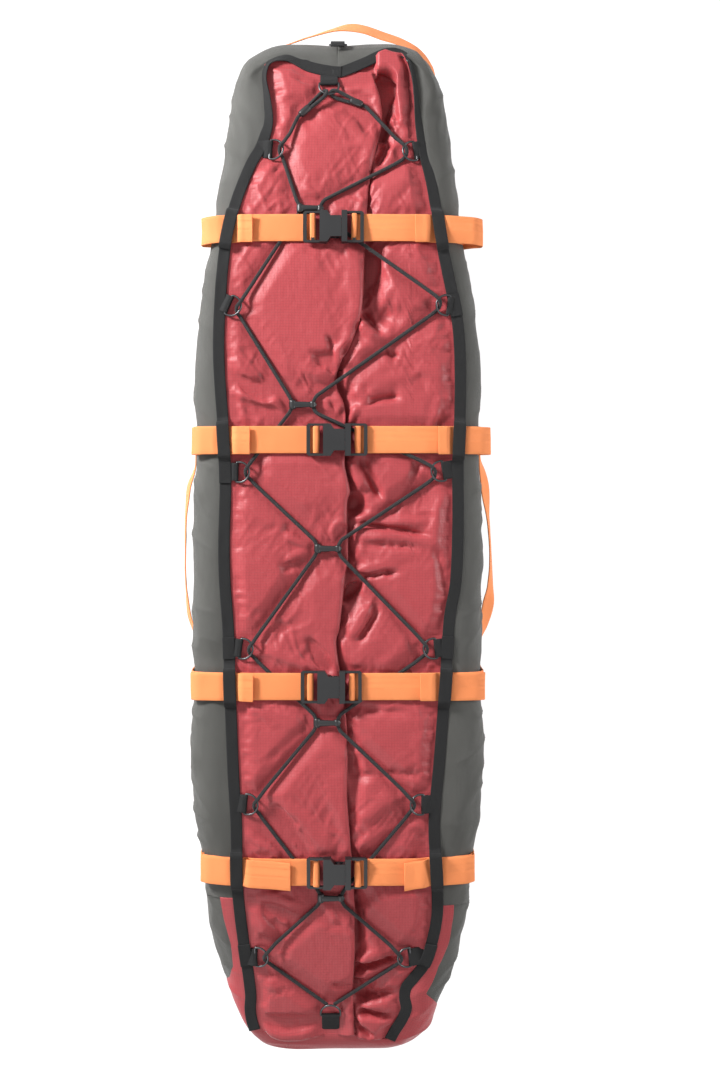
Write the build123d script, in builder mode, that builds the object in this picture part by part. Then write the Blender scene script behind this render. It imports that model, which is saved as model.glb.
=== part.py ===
from build123d import *

import math
import os

# Pulk sled: a glassfibre hull on three runners, closed by a fitted fabric cover that is
# strapped and laced down.  Millimetres, +Z up, nose towards -Y, the sled's left on +X.
# The origin is on the floor under the middle of the sled's box.

# ------------------------------------------------------------------ driving dimensions

body_front = -707.0         # nose of the cover
body_rear = 742.0           # tail of the cover


def station(share):
    """Place along the sled, at a share of the cover's length from its nose."""
    return body_front + share * (body_rear - body_front)


nose_corner = 136.5         # half width where the nose turns into the sides
shoulder = 198.5            # half width at the end of the bow
shoulder_y = station(0.3002)
waist = 204.5               # largest half width, behind the middle
waist_y = station(0.7281)
quarter = 178.5             # half width where the tail starts to close
quarter_y = station(0.8868)
tail_corner = 116.5
nose_round = 95.5           # plan radius of the two nose corners
tail_round = 79.0           # plan radius of the two tail corners
side_rounds = (2400.0, 1500.0, 500.0)

crown_nose = 196.0          # height of the cover's top along the middle
crown_bow = 250.0
crown_bow_y = station(0.2105)
crown_stern = 252.0
crown_stern_y = station(0.7764)
crown_tail = 182.0
crown_radius = 900.0
edge_bevel = 26.0           # bevel between the cover's top and its walls

hem_z = 126.0               # lower edge of the cover's walls
rim_z = 142.0               # top of the rim strip
cloth = 1.6                 # coated fabric with its lining
web = 1.8                   # thickness of webbing
air = 0.3                   # gap between pieces that lie on each other

hull_wall = 3.0
hull_floor_z = 10.0         # underside of the hull, on the runners
hull_top_z = 138.0
hull_inset = 7.0            # hull side inside the cover's outline
strip_wall = 3.0            # moulded strip over the hull's rim
strip_depth = 12.0

strap_width = 38.0
strap_stations = [station(share) for share in (0.1898, 0.3934, 0.6308, 0.8095)]
buckle_places = (5.0, 0.0, 8.0, 0.0)
edge_band = 19.0            # width of the black edge webbing
flank = 24.0                # stitched double length each side of a strap

cord = 5.0                  # elastic lacing cord
ring_wire = 3.0
ring_width = 25.0
ring_depth = 19.0
ring_stations = [
    station(share) for share in (0.1083, 0.2643, 0.4230, 0.5942, 0.7447, 0.8965)
]
ring_inboard = 26.5         # from the edge webbing's middle to the ring's bar
ring_tilt = 27.0
hook_stations = [station(share) for share in (0.1684, 0.3603, 0.4976, 0.6660, 0.8337)]
hook_places = (40.0, 52.0, 20.0, 14.0, 3.0)
hook_reach = 12.0           # from a hook's middle to each cord
hook_length = 9.0
ring_bend = 7.0             # radius of the cord at a ring, at a hook and between them
hook_bend = 9.0
slack_bend = 60.0

# heights above the cover's base surface, layer on layer
flap_low = cloth + air
flap_high = flap_low + cloth
trim_low = flap_high + air
trim_high = trim_low + web
bridge_low = trim_high + air
bridge_high = bridge_low + web
hook_barrel = 4.2           # outer radius of a hook's barrel and of a cord's sleeve
cord_lift = flap_high + air + hook_barrel
strap_low = cord_lift + cord / 2 + air
strap_high = strap_low + web

os.makedirs("parts", exist_ok=True)


def save(piece, name):
    """Label a finished piece and write its STEP file."""
    piece.part.label = name
    export_step(piece.part, f"parts/{name}.step")


# ------------------------------------------------------------------ base form of the cover


def plan_points(side=0.0, bow=0.0, stern=0.0):
    """Corners of the plan outline, drawn in at the sides, the bow and the stern."""
    return [
        (nose_corner - side, body_front + bow),
        (shoulder - side, shoulder_y),
        (waist - side, waist_y),
        (quarter - side, quarter_y - stern / 2),
        (tail_corner - side, body_rear - stern),
    ]


def bend_radii(route, largest):
    """Radius of the arc at each inner point of a route, as its runs and a limit allow."""
    radii = []
    for before, here, after, limit in zip(route, route[1:], route[2:], largest):
        run_in = Vector(here) - Vector(before)
        run_out = Vector(after) - Vector(here)
        half_turn = math.radians(run_in.get_angle(run_out) / 2)
        shorter = min(run_in.length, run_out.length)
        radii.append(min(limit, 0.45 * shorter / math.tan(half_turn)))
    return radii


def plan_line(side=0.0, bow=0.0, stern=0.0):
    """Closed plan outline with every corner rounded, inside a BuildLine."""
    half = plan_points(side, bow, stern)
    corners = [(-half[0][0], half[0][1]), *half, (-half[4][0], half[4][1])]
    radii = bend_radii(corners, [nose_round, *side_rounds, tail_round])
    other = [(-x, y) for x, y in reversed(half)]
    FilletPolyline(*half, *other, radius=radii + radii[::-1], close=True)


def side_x(y):
    """Half width of the plan outline at station y, between its corners."""
    half = plan_points()
    for (x0, y0), (x1, y1) in zip(half, half[1:]):
        if y <= y1:
            return x0 + (x1 - x0) * (y - y0) / (y1 - y0)
    return half[-1][0]


def crown(y):
    """Height and slope of the cover's top at station y."""
    bow_slope = (crown_bow - crown_nose) / (crown_bow_y - body_front)
    top_slope = (crown_stern - crown_bow) / (crown_stern_y - crown_bow_y)
    tail_slope = (crown_tail - crown_stern) / (body_rear - crown_stern_y)
    height = crown_bow + top_slope * (y - crown_bow_y)
    slope = top_slope
    for corner_y, corner_z, side_slope, outward in (
        (crown_bow_y, crown_bow, bow_slope, -1),
        (crown_stern_y, crown_stern, tail_slope, 1),
    ):
        turn = abs(math.atan(side_slope) - math.atan(top_slope))
        reach = crown_radius * math.tan(turn / 2)
        flat_end = corner_y - outward * reach * math.cos(math.atan(top_slope))
        round_end = corner_y + outward * reach * math.cos(math.atan(side_slope))
        if outward * (y - round_end) >= 0:
            height = corner_z + side_slope * (y - corner_y)
            slope = side_slope
        elif outward * (y - flat_end) > 0:
            centre_y = flat_end + crown_radius * math.sin(math.atan(top_slope))
            flat_z = corner_z + top_slope * (flat_end - corner_y)
            centre_z = flat_z - crown_radius * math.cos(math.atan(top_slope))
            height = centre_z + math.sqrt(crown_radius**2 - (y - centre_y) ** 2)
            slope = -(y - centre_y) / (height - centre_z)
    return height, slope


def seat(x, y, lift=0.0):
    """Plane on the cover's top at (x, y): local x across, local y aft, local z outward."""
    height, slope = crown(y)
    normal = Vector(0, -slope, 1).normalized()
    return Plane(Vector(x, y, height) + normal * lift, x_dir=(1, 0, 0), z_dir=normal)


def cover_form(grown):
    """Solid body of the filled cover, grown outwards by a distance."""
    with BuildPart() as form:
        with BuildSketch(Plane.XY.offset(hem_z)):
            with BuildLine():
                plan_line()
            make_face()
            offset(amount=grown)
        extrude(amount=crown_stern)
        with BuildSketch(Plane.YZ):
            with BuildLine():
                FilletPolyline(
                    (body_front - 60, crown(body_front - 60)[0]),
                    (crown_bow_y, crown_bow),
                    (crown_stern_y, crown_stern),
                    (body_rear + 60, crown(body_rear + 60)[0]),
                    radius=crown_radius,
                )
                Polyline(
                    (body_rear + 60, crown(body_rear + 60)[0]),
                    (body_rear + 60, 0),
                    (body_front - 60, 0),
                    (body_front - 60, crown(body_front - 60)[0]),
                )
            make_face()
            offset(amount=grown)
        extrude(amount=2 * waist, both=True, mode=Mode.INTERSECT)
        upper = form.faces().filter_by(lambda face: face.normal_at().Z > 0.9)
        shared = [edge for face in upper for edge in face.edges()]
        brow = [edge for edge in shared if sum(edge.is_same(other) for other in shared) == 1]
        chamfer(brow, edge_bevel + grown * (2 - math.sqrt(2)))
    return form.part


def layer(low, high):
    """Skin of the cover between two heights above its base surface."""
    with BuildPart() as skin:
        add(cover_form(high))
        add(cover_form(low), mode=Mode.SUBTRACT)
    return skin.part


base_skin = layer(0, cloth)
flap_skin = layer(flap_low, flap_high)
step_skin = layer(0, flap_high)
trim_skin = layer(trim_low, trim_high)
double_skin = layer(trim_low, bridge_high)
above_trim = layer(trim_high, bridge_high + web)
under_bridge = layer(trim_low - air / 2, bridge_low)

# ------------------------------------------------------------------ plan lines on the cover

# middle line of the edge webbing on the left half, from the nose to the tail
nose_hem_y = body_front + 35
webbing_insets = [          # place along the sled, and how far inside the outline
    (station(0.1001), 48.0),
    (station(0.2705), 28.0),
    (station(0.5397), 40.0),
    (station(0.7743), 58.0),
    (station(0.8502), 45.0),
]
webbing_line = [
    (0.0, nose_hem_y),
    (nose_corner - 32, nose_hem_y),
    *[(side_x(y) - inset, y) for y, inset in webbing_insets],
    (tail_corner - 18, body_rear + 3),
]
webbing_radii = [28.0, 300.0, 700.0, 2000.0, 1500.0, 500.0]
lap = 9.0                   # flaps and walls overlap this far under the edge webbing
flap_edge = -9.0            # where the left flap's free edge lies
flap_overlap = 39.0         # the right flap runs this far under it
flap_rear = body_rear - 14
gusset_front = quarter_y - 76
gusset_rear = body_rear - 102
panel_half = tail_corner - 54.5
panel_front = body_rear - 90
far = 900.0                 # past the ends of the sled
# seams between the panels of each wall: nose, bow, side, quarter
wall_seams = [-far, station(0.1139), station(0.3865), station(0.7343), far]


def webbing_x(y):
    """Distance of the edge webbing's middle line from the sled's middle at station y."""
    for (x0, y0), (x1, y1) in zip(webbing_line[1:], webbing_line[2:]):
        if y0 <= y <= y1:
            return x0 + (x1 - x0) * (y - y0) / (y1 - y0)
    return webbing_line[-1][0]


def mirrored(side, points):
    """Points given on the left half, for the left (1) or the right (-1)."""
    return [(side * x, y) for x, y in points]


def inner_field(side):
    """Plan area between the webbing line and the middle of the sled."""
    line = mirrored(side, webbing_line)
    with BuildSketch() as field:
        with BuildLine():
            FilletPolyline(*line, radius=webbing_radii)
            Polyline(line[-1], (line[-1][0], far), (0, far), line[0])
        make_face()
    return field.sketch


def band(side, width):
    """Plan strip along the webbing line, ending just short of the sled's middle."""
    with BuildSketch() as strip:
        with BuildLine():
            FilletPolyline(*mirrored(side, webbing_line), radius=webbing_radii)
        trace(line_width=width)
        with Locations((-side * (far - air / 2), 0)):
            Rectangle(2 * far, 2 * far, mode=Mode.SUBTRACT)
    return strip.sketch


def outer_field(side):
    """Plan area outside the webbing line, with the lap under the webbing."""
    with BuildSketch() as field:
        with Locations((side * (far + air) / 2, 0)):
            Rectangle(far, 2 * far)
        add(inner_field(side), mode=Mode.SUBTRACT)
        add(band(side, 2 * lap))
    return field.sketch


def gusset_field(side, grown=0.0):
    """Plan area of the gusset that widens from the webbing to the tail."""
    inside = tail_corner - 16
    outside = side_x(gusset_front) - 24
    corners = [
        (inside, gusset_front),
        (outside, gusset_front),
        (outside - 3, gusset_front + 60),
        (outside + 100, gusset_rear),
        (outside + 100, far),
        (panel_half, far),
        (panel_half, panel_front),
        (inside, panel_front),
    ]
    with BuildSketch() as field:
        with BuildLine():
            Polyline(*mirrored(side, corners), close=True)
        make_face()
        if grown:
            offset(amount=grown, kind=Kind.INTERSECTION)
    return field.sketch


def patch(area, skin):
    """The piece of a skin that lies over a plan area."""
    with BuildPart() as piece:
        with BuildSketch(Plane.XY.offset(hem_z)):
            add(area)
        extrude(amount=crown_stern)
        add(skin, mode=Mode.INTERSECT)
    return piece.part


def slab(x_from, x_to, y_from, y_to):
    """Rectangular plan area between two limits each way."""
    with BuildSketch() as area:
        with Locations(((x_from + x_to) / 2, (y_from + y_to) / 2)):
            Rectangle(abs(x_to - x_from), y_to - y_from)
    return area.sketch


# ------------------------------------------------------------------ fabric of the cover

for side, hand in ((1, "left"), (-1, "right")):
    with BuildSketch() as wall_area:
        add(outer_field(side))
        add(gusset_field(side, air), mode=Mode.SUBTRACT)
        add(slab(-panel_half - 3, panel_half + 3, panel_front, far), mode=Mode.SUBTRACT)
    with BuildPart() as wall:
        for panel_start, panel_end in zip(wall_seams, wall_seams[1:]):
            with BuildSketch() as panel_area:
                add(wall_area.sketch)
                add(slab(-far, far, panel_start + air, panel_end), mode=Mode.INTERSECT)
            add(patch(panel_area.sketch, base_skin))
    save(wall, f"wall_{hand}")

    with BuildSketch() as gusset_area:
        add(gusset_field(side))
        add(outer_field(side), mode=Mode.INTERSECT)
    with BuildPart() as gusset:
        add(patch(gusset_area.sketch, base_skin))
    save(gusset, f"gusset_{hand}")

with BuildPart() as tail_panel:
    add(patch(slab(-panel_half + air, panel_half - air, panel_front, far), base_skin))
save(tail_panel, "tail_panel")

with BuildSketch() as left_area:
    add(inner_field(1))
    add(slab(flap_edge, 1, nose_hem_y, far))
    add(slab(-far, far, flap_rear, 2 * far), mode=Mode.SUBTRACT)
with BuildPart() as flap_left:
    add(patch(left_area.sketch, flap_skin))
save(flap_left, "flap_left")

with BuildSketch() as right_area:
    add(inner_field(-1))
    add(slab(flap_edge - air, far, -far, far), mode=Mode.SUBTRACT)
    add(slab(-far, far, flap_rear, 2 * far), mode=Mode.SUBTRACT)
tuck_front = nose_hem_y + lap + 4
tuck_rear = panel_front - 4
step_x = flap_edge - air - cloth
with BuildPart() as flap_right:
    add(patch(right_area.sketch, flap_skin))
    add(patch(slab(step_x, step_x + cloth, tuck_front, tuck_rear), step_skin))
    add(patch(slab(step_x, flap_edge + flap_overlap, tuck_front, tuck_rear), base_skin))
save(flap_right, "flap_right")

# ------------------------------------------------------------------ edge webbing

for side, hand in ((1, "left"), (-1, "right")):
    with BuildSketch() as single_area:
        add(slab(-far, far, -far, far))
        for strap_y in strap_stations:
            reach = strap_width / 2 + flank
            add(slab(-far, far, strap_y - reach, strap_y + reach), mode=Mode.SUBTRACT)
    with BuildSketch() as tunnel_area:
        for strap_y in strap_stations:
            reach = strap_width / 2 + 1
            add(slab(-far, far, strap_y - reach, strap_y + reach))
    with BuildSketch() as band_area:
        add(band(side, edge_band))
        add(slab(-far, far, flap_rear, 2 * far), mode=Mode.SUBTRACT)
    with BuildPart() as webbing:
        add(patch(band_area.sketch, double_skin))
        add(patch(single_area.sketch, above_trim), mode=Mode.SUBTRACT)
        add(patch(tunnel_area.sketch, under_bridge), mode=Mode.SUBTRACT)
    save(webbing, f"edge_webbing_{hand}")

# ------------------------------------------------------------------ straps and buckles


def cross_section(y):
    """Section plane at station y: local x across the sled, local y out of the cover."""
    base = seat(0, y)
    return Plane(base.origin, x_dir=(1, 0, 0), z_dir=-base.y_dir)


# side-release buckle, measured from its middle along the strap
buckle_half = 42.4
rail = 3.2                  # side rails of the strap frames
buckle_width = strap_width + 2 * (air + rail)
buckle_thick = 12.0
outer_bar = 5.0
frame_root = 19.3           # where a strap frame meets the moulded body
frame_corner = 2.6
inner_bar = 4.6
inner_bar_x = 29.0
bar_thick = 3.2
frame_thick = 5.0
socket_mouth = -11.0
notch_front = 4.0           # the socket narrows here, so that fingers reach the arms
notch_slant = 5.0
notch_depth = 7.5
plate = 2.2                 # upper and lower plates of the socket
side_wall = 2.4
end_wall = 4.0
window_half = 5.5           # opening in the side of the socket, over an arm's pad
arm = 3.4
arm_head = 6.0              # length of the barb behind the socket's shoulder
pad_swell = 2.6
guide_half = 2.2            # middle tongue that keeps the plug straight
guide_reach = 10.0
buckle_floor = strap_low + 0.2
bar_floor = strap_high + air

neck_half = buckle_width / 2 - notch_depth
mouth_half = neck_half - side_wall
catch_half = buckle_width / 2 - side_wall
catch_front = notch_front + notch_slant


def strap_frame(base):
    """Frame at one end of a buckle, with the inner bar that the strap turns round."""
    length = buckle_half - frame_root
    opening = length - outer_bar
    with BuildPart() as frame:
        with BuildSketch(base.offset(bar_floor)) as rim:
            with Locations((frame_root + length / 2, 0)):
                Rectangle(length, buckle_width)
            chamfer(rim.vertices().sort_by(Axis.X)[-2:], frame_corner)
            with Locations((frame_root + opening / 2, 0)):
                Rectangle(opening, strap_width + 2 * air, mode=Mode.SUBTRACT)
        extrude(amount=frame_thick)
        with BuildSketch(base.offset(bar_floor)):
            with Locations((inner_bar_x, 0)):
                Rectangle(inner_bar, buckle_width - 2 * rail + 2 * air)
        extrude(amount=bar_thick)
    return frame.part


def both_edges(half_outline):
    """Closed outline, symmetrical about the strap, from its points on one side."""
    other = [(x, -y) for x, y in reversed(half_outline)]
    Polyline(*half_outline, *other, close=True)


def socket_solid(base):
    """Socket: two plates with side walls, open at the mouth and at the pads of the arms."""
    with BuildPart() as socket:
        add(strap_frame(base))
        with BuildSketch(base.offset(buckle_floor)):
            with BuildLine():
                both_edges([
                    (socket_mouth, neck_half),
                    (notch_front, neck_half),
                    (catch_front, buckle_width / 2),
                    (frame_root, buckle_width / 2),
                ])
            make_face()
        extrude(amount=buckle_thick)
        with BuildSketch(base.offset(buckle_floor + plate)):
            with BuildLine():
                both_edges([
                    (socket_mouth, mouth_half),
                    (notch_front, mouth_half),
                    (catch_front, catch_half),
                    (frame_root - end_wall, catch_half),
                ])
            make_face()
            with Locations((notch_front - window_half - 1, 0)):
                Rectangle(2 * window_half, buckle_width)
        extrude(amount=buckle_thick - 2 * plate, mode=Mode.SUBTRACT)
    return socket.part


def plug_solid(base):
    """Plug: a guide tongue and two sprung arms whose barbs catch behind the socket's neck."""
    turned = Plane(base.origin, x_dir=-base.x_dir, z_dir=base.z_dir)
    face = socket_mouth - air
    block = frame_root + face
    outside = mouth_half - air
    pad_x = notch_front - window_half - 1
    barb = (catch_half - mouth_half) * 0.86
    with BuildPart() as plug:
        add(strap_frame(turned))
        with BuildSketch(base.offset(buckle_floor)):
            with Locations((face - block / 2, 0)):
                Rectangle(block, buckle_width)
        extrude(amount=buckle_thick)
        with BuildSketch(base.offset(buckle_floor + plate + air)):
            for side in (1, -1):
                with BuildLine():
                    Polyline(
                        (face, side * outside),
                        (pad_x - 3, side * outside),
                        (pad_x - 1, side * (outside + pad_swell)),
                        (pad_x + 1, side * (outside + pad_swell)),
                        (pad_x + 3, side * outside),
                        (notch_front + air, side * outside),
                        (catch_front * 0.96 + air, side * (outside + barb)),
                        (catch_front + arm_head - 2, side * (outside + barb)),
                        (catch_front + arm_head - 0.6, side * (outside + 1)),
                        (catch_front, side * (outside - arm)),
                        (face, side * (outside - arm)),
                        close=True,
                    )
                make_face()
            with Locations(((face + guide_reach) / 2, 0)):
                Rectangle(guide_reach - face, 2 * guide_half)
        extrude(amount=buckle_thick - 2 * (plate + air))
    return plug.part


strap_mid = (strap_low + strap_high) / 2
over_bar = bar_floor + bar_thick + air + web / 2
wrap = inner_bar / 2 + air + web / 2
for number, (strap_y, middle) in enumerate(zip(strap_stations, buckle_places), start=1):
    reach = strap_width / 2
    nearest = min(webbing_x(strap_y - reach), webbing_x(strap_y + reach))
    inner_x = nearest - edge_band / 2 - 3
    for side, hand in ((1, "left"), (-1, "right")):
        bar_x = side * middle + inner_bar_x
        with BuildPart() as strap:
            outer = slab(side * (inner_x - 0.2), side * far, strap_y - reach, strap_y + reach)
            add(patch(outer, trim_skin))
            with BuildSketch(cross_section(strap_y)):
                with BuildLine():
                    FilletPolyline(
                        (side * (inner_x + web / 2), trim_low + web / 2),
                        (side * (inner_x + web / 2), strap_mid),
                        (side * (bar_x + wrap), strap_mid),
                        (side * (bar_x + wrap), over_bar),
                        (side * (bar_x - wrap), over_bar),
                        (side * (bar_x - wrap), strap_low),
                        radius=1.2,
                    )
                trace(line_width=web)
            extrude(amount=reach, both=True)
        save(strap, f"strap_{number}_{hand}")

    base = seat(middle, strap_y)
    with BuildPart() as socket:
        add(socket_solid(base))
    save(socket, f"buckle_{number}_socket")
    with BuildPart() as plug:
        add(plug_solid(base))
    save(plug, f"buckle_{number}_plug")

# ------------------------------------------------------------------ rings and their tabs

tab_length = 11.5
tab_cloth = 1.2
tab_bend = 1.6
ring_corner = 8.5           # how far the bend of the round side reaches
bar_corner = 1.5
ring_lift = flap_high + air + tab_cloth + air + ring_wire / 2


def ring_place(x, y, across, aft):
    """Seat of a ring: local x points from its tab towards its round side."""
    base = seat(x, y)
    return Plane(
        base.origin, x_dir=base.x_dir * across + base.y_dir * aft, z_dir=base.z_dir
    )


def ring_places(side):
    """Seats of the rings along one side."""
    return [
        ring_place(side * (webbing_x(y) - ring_inboard), y, -side, 0) for y in ring_stations
    ]


nose_ring_y = nose_hem_y + edge_band / 2 + tab_length + 1
tail_ring_y = flap_rear - 44
nose_ring_place = ring_place(12, nose_ring_y, 0, 1)
tail_ring_place = ring_place(10, tail_ring_y, 0, -1)


def ring_solids(places):
    """D-rings of drawn wire: the bar lies in the tab and the round side is lifted a little."""
    half = (ring_width + ring_wire) / 2
    with BuildPart() as rings:
        for place in places:
            centre = place.offset(ring_lift)
            lean = math.radians(ring_tilt)
            along = centre.x_dir * math.cos(lean) + centre.z_dir * math.sin(lean)
            flat = Plane(centre.origin, x_dir=along, z_dir=along.cross(centre.y_dir))
            with BuildLine(flat) as loop:
                Polyline(
                    (0, 0),
                    (0, half - bar_corner),
                    (bar_corner, half),
                    (ring_depth - ring_corner, half),
                    (ring_depth, half - ring_corner),
                    (ring_depth, ring_corner - half),
                    (ring_depth - ring_corner, -half),
                    (bar_corner, -half),
                    (0, bar_corner - half),
                    close=True,
                )
            start = loop.wire()
            with BuildSketch(Plane(start @ 0, x_dir=flat.z_dir, z_dir=start % 0)):
                RegularPolygon(ring_wire / 2, 6, major_radius=False)
            sweep(path=start, transition=Transition.RIGHT)
    return rings


def tab_solids(places):
    """Webbing tabs folded round the straight side of each ring."""
    low = flap_high + air + tab_cloth / 2
    top = ring_lift + ring_wire / 2 + air + tab_cloth / 2
    nose = -(ring_wire / 2 + air + tab_cloth / 2)
    with BuildPart() as tabs:
        for place in places:
            section = Plane(place.origin, x_dir=-place.x_dir, z_dir=place.y_dir)
            with BuildSketch(section):
                with BuildLine():
                    Polyline(
                        (tab_length / 2, low + 1.4 * tab_cloth),
                        (ring_wire, top),
                        (nose + tab_bend, top),
                        (nose, top - tab_bend),
                        (nose, low + tab_bend),
                        (nose + tab_bend, low),
                        (tab_length, low),
                    )
                trace(line_width=tab_cloth)
                with Locations((0.75 * tab_length - 0.5, low + tab_cloth / 2)):
                    Rectangle(tab_length / 2 + 1, 2 * tab_cloth)
            extrude(amount=ring_width / 2 - 1, both=True)
    return tabs


for side, hand in ((1, "left"), (-1, "right")):
    save(ring_solids(ring_places(side)), f"d_rings_{hand}")
    save(tab_solids(ring_places(side)), f"ring_tabs_{hand}")
save(ring_solids([nose_ring_place]), "nose_ring")
save(tab_solids([nose_ring_place]), "nose_tab")
save(ring_solids([tail_ring_place]), "tail_ring")
save(tab_solids([tail_ring_place]), "tail_tab")

# ------------------------------------------------------------------ lacing cord and hooks


def lacing_route(side):
    """Points of one lacing cord from the nose ring to the tail ring, with the arc limits."""
    rings = [(side * (webbing_x(y) - ring_inboard - 9), y) for y in ring_stations]
    hooks = [(x + side * hook_reach, y) for x, y in zip(hook_places, hook_stations)]
    marks = [(12 + side * 3, nose_ring_y + 9, 0)]
    for count, (x, y) in enumerate(rings):
        marks.append((x, y, ring_bend))
        if count < len(hooks):
            hook_x, hook_y = hooks[count]
            next_x, next_y = rings[count + 1]
            marks.append(((x + hook_x) / 2, (y + hook_y) / 2, slack_bend))
            marks.append((hook_x, hook_y - hook_length, hook_bend))
            marks.append((hook_x, hook_y + hook_length, hook_bend))
            marks.append(((hook_x + next_x) / 2, (hook_y + next_y) / 2, slack_bend))
    marks.append((10 + side * 3, tail_ring_y - 9, 0))
    points = [seat(x, y, cord_lift).origin for x, y, limit in marks]
    return points, [limit for x, y, limit in marks[1:-1]]


for side, hand in ((1, "left"), (-1, "right")):
    route, limits = lacing_route(side)
    radii = bend_radii(route, limits)
    with BuildPart() as lacing:
        with BuildLine() as path:
            FilletPolyline(*route, radius=radii)
        run = path.wire()
        with BuildSketch(Plane(run @ 0, z_dir=run % 0)) as section:
            RegularPolygon(cord / 2, 6)
        sweep(path=run)
    tube = section.sketch.area * run.length
    print(f"bungee_{hand}: length {run.length:.0f}, radii {[round(r, 1) for r in radii]}")
    print(f"  volume ratio {lacing.part.volume / tube:.4f}")
    save(lacing, f"bungee_{hand}")

hook_bar = 3.4              # thickness of the bar between a hook's two ends
hook_mouth = 4.4            # way in for the cord, on top of the open end
with BuildPart() as cord_hooks:
    for x, y in zip(hook_places, hook_stations):
        ends = [(x + hook_reach, cord_lift), (x - hook_reach, cord_lift)]
        with BuildSketch(cross_section(y)):
            with Locations(*ends):
                RegularPolygon(hook_barrel, 12, major_radius=False)
            with Locations((x, cord_lift)):
                Rectangle(2 * hook_reach, hook_bar)
            with Locations(*ends):
                RegularPolygon(cord / 2 + air, 8, major_radius=False, mode=Mode.SUBTRACT)
            with Locations((ends[1][0], cord_lift + hook_barrel)):
                Rectangle(hook_mouth, 2 * (hook_barrel - air), mode=Mode.SUBTRACT)
        extrude(amount=hook_length / 2, both=True)
save(cord_hooks, "cord_hooks")

sleeve_length = 14.0
with BuildPart() as cord_sleeves:
    for side in (1, -1):
        route, limits = lacing_route(side)
        run = Vector(route[1]) - Vector(route[0])
        middle = Vector(route[0]) + run * 0.3
        with BuildSketch(Plane(middle, z_dir=run)):
            RegularPolygon(hook_barrel, 12, major_radius=False)
            RegularPolygon(cord / 2 + air, 8, major_radius=False, mode=Mode.SUBTRACT)
        extrude(amount=sleeve_length / 2, both=True)
save(cord_sleeves, "cord_sleeves")

# ------------------------------------------------------------------ carry handles

handle_width = 25.0
handle_thick = 2.2
handle_bend = 60.0
handle_reach = waist + 14.5
side_handle_front = station(0.4120)
side_handle_rear = station(0.5983)
sewn_length = 28.0
corner_turn = math.atan2(shoulder_y - body_front, shoulder - nose_corner)
corner_x = nose_corner - nose_round * math.tan(corner_turn / 2)
corner_y = body_front + nose_round
nose_handle_front = body_front - 35 + handle_thick / 2
off_wall = cloth + air + handle_thick / 2


def on_corner(angle, radius):
    """Point at an angle from straight ahead, round the nose's left corner."""
    turn = math.radians(angle)
    return (corner_x + radius * math.sin(turn), corner_y - radius * math.cos(turn))


with BuildPart() as nose_handle:
    sewn = nose_round + off_wall
    left_half = [
        on_corner(52, sewn),
        on_corner(39, sewn / math.cos(math.radians(13))),
        (30, nose_handle_front),
    ]
    with BuildSketch(Plane.XY.offset(hem_z + 7)):
        with BuildLine():
            right_half = [(-x, y) for x, y in reversed(left_half)]
            FilletPolyline(
                *left_half, *right_half, radius=[sewn, handle_bend, handle_bend, sewn]
            )
        trace(line_width=handle_thick)
    extrude(amount=handle_width)
save(nose_handle, "nose_handle")

for side, hand in ((1, "left"), (-1, "right")):
    front_tack = side_handle_front + sewn_length
    rear_tack = side_handle_rear - sewn_length
    route = [
        (side_x(side_handle_front) + off_wall, side_handle_front),
        (side_x(front_tack) + off_wall, front_tack),
        (handle_reach - 1, front_tack + 37),
        (handle_reach, rear_tack - 36),
        (side_x(rear_tack) + off_wall, rear_tack),
        (side_x(side_handle_rear) + off_wall, side_handle_rear),
    ]
    with BuildPart() as side_handle:
        with BuildSketch(Plane.XY.offset(hem_z + 38)):
            with BuildLine():
                FilletPolyline(*mirrored(side, route), radius=handle_bend)
            trace(line_width=handle_thick)
        extrude(amount=handle_width)
    save(side_handle, f"side_handle_{hand}")

# ------------------------------------------------------------------ nose strap and its lock

lock_strap = 20.0           # width of the nose strap
lock_strap_skin = layer(flap_low, flap_low + web)
with BuildPart() as nose_strap:
    add(patch(slab(-lock_strap / 2, lock_strap / 2, -far, nose_hem_y - air), lock_strap_skin))
save(nose_strap, "nose_strap")

lock_rail = 3.0
lock_bar = 3.2
lock_slot = 3.4
lock_z = hem_z + 20

with BuildPart() as nose_ladder_lock:
    front = Plane(
        (0, body_front - flap_low - web - air, lock_z), x_dir=(1, 0, 0), z_dir=(0, -1, 0)
    )
    with BuildSketch(front):
        RectangleRounded(
            lock_strap + 2 * (air + lock_rail), 2 * lock_slot + 4 * lock_bar, 2.5
        )
        with GridLocations(0, lock_slot + 2 * lock_bar, 1, 2):
            Rectangle(lock_strap + 2 * air, lock_slot, mode=Mode.SUBTRACT)
    extrude(amount=4.5)
save(nose_ladder_lock, "nose_ladder_lock")

# ------------------------------------------------------------------ zip puller at the tail

tail_turn = math.pi / 2 + math.atan2(quarter - tail_corner, body_rear - quarter_y)
tail_x = tail_corner - tail_round * math.tan((math.pi - tail_turn) / 2)
zip_angle = math.radians(62)
zip_out = Vector(math.sin(zip_angle), math.cos(zip_angle), 0)
zip_centre = Vector(tail_x, body_rear - tail_round, hem_z + 22)
with BuildPart() as zip_puller:
    base = Plane(
        zip_centre + zip_out * (tail_round + cloth + air), x_dir=(0, 0, 1), z_dir=zip_out
    )
    with BuildSketch(base):
        RectangleRounded(12, 8, 2)
    extrude(amount=3.5)
    with BuildLine(base.offset(5)) as loop:
        Polyline((4, 0), (4, 3), (-16, 3.5), (-18, 0), (-16, -3.5), (4, -3), close=True)
    run = loop.wire()
    with BuildSketch(Plane(run @ 0, x_dir=zip_out, z_dir=run % 0)):
        RegularPolygon(1.2, 6)
    sweep(path=run, transition=Transition.RIGHT)
    with BuildSketch(base.offset(3)):
        with Locations((3, 0)):
            Rectangle(3, 8)
    extrude(amount=3)
save(zip_puller, "zip_puller")

# ------------------------------------------------------------------ hull

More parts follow.
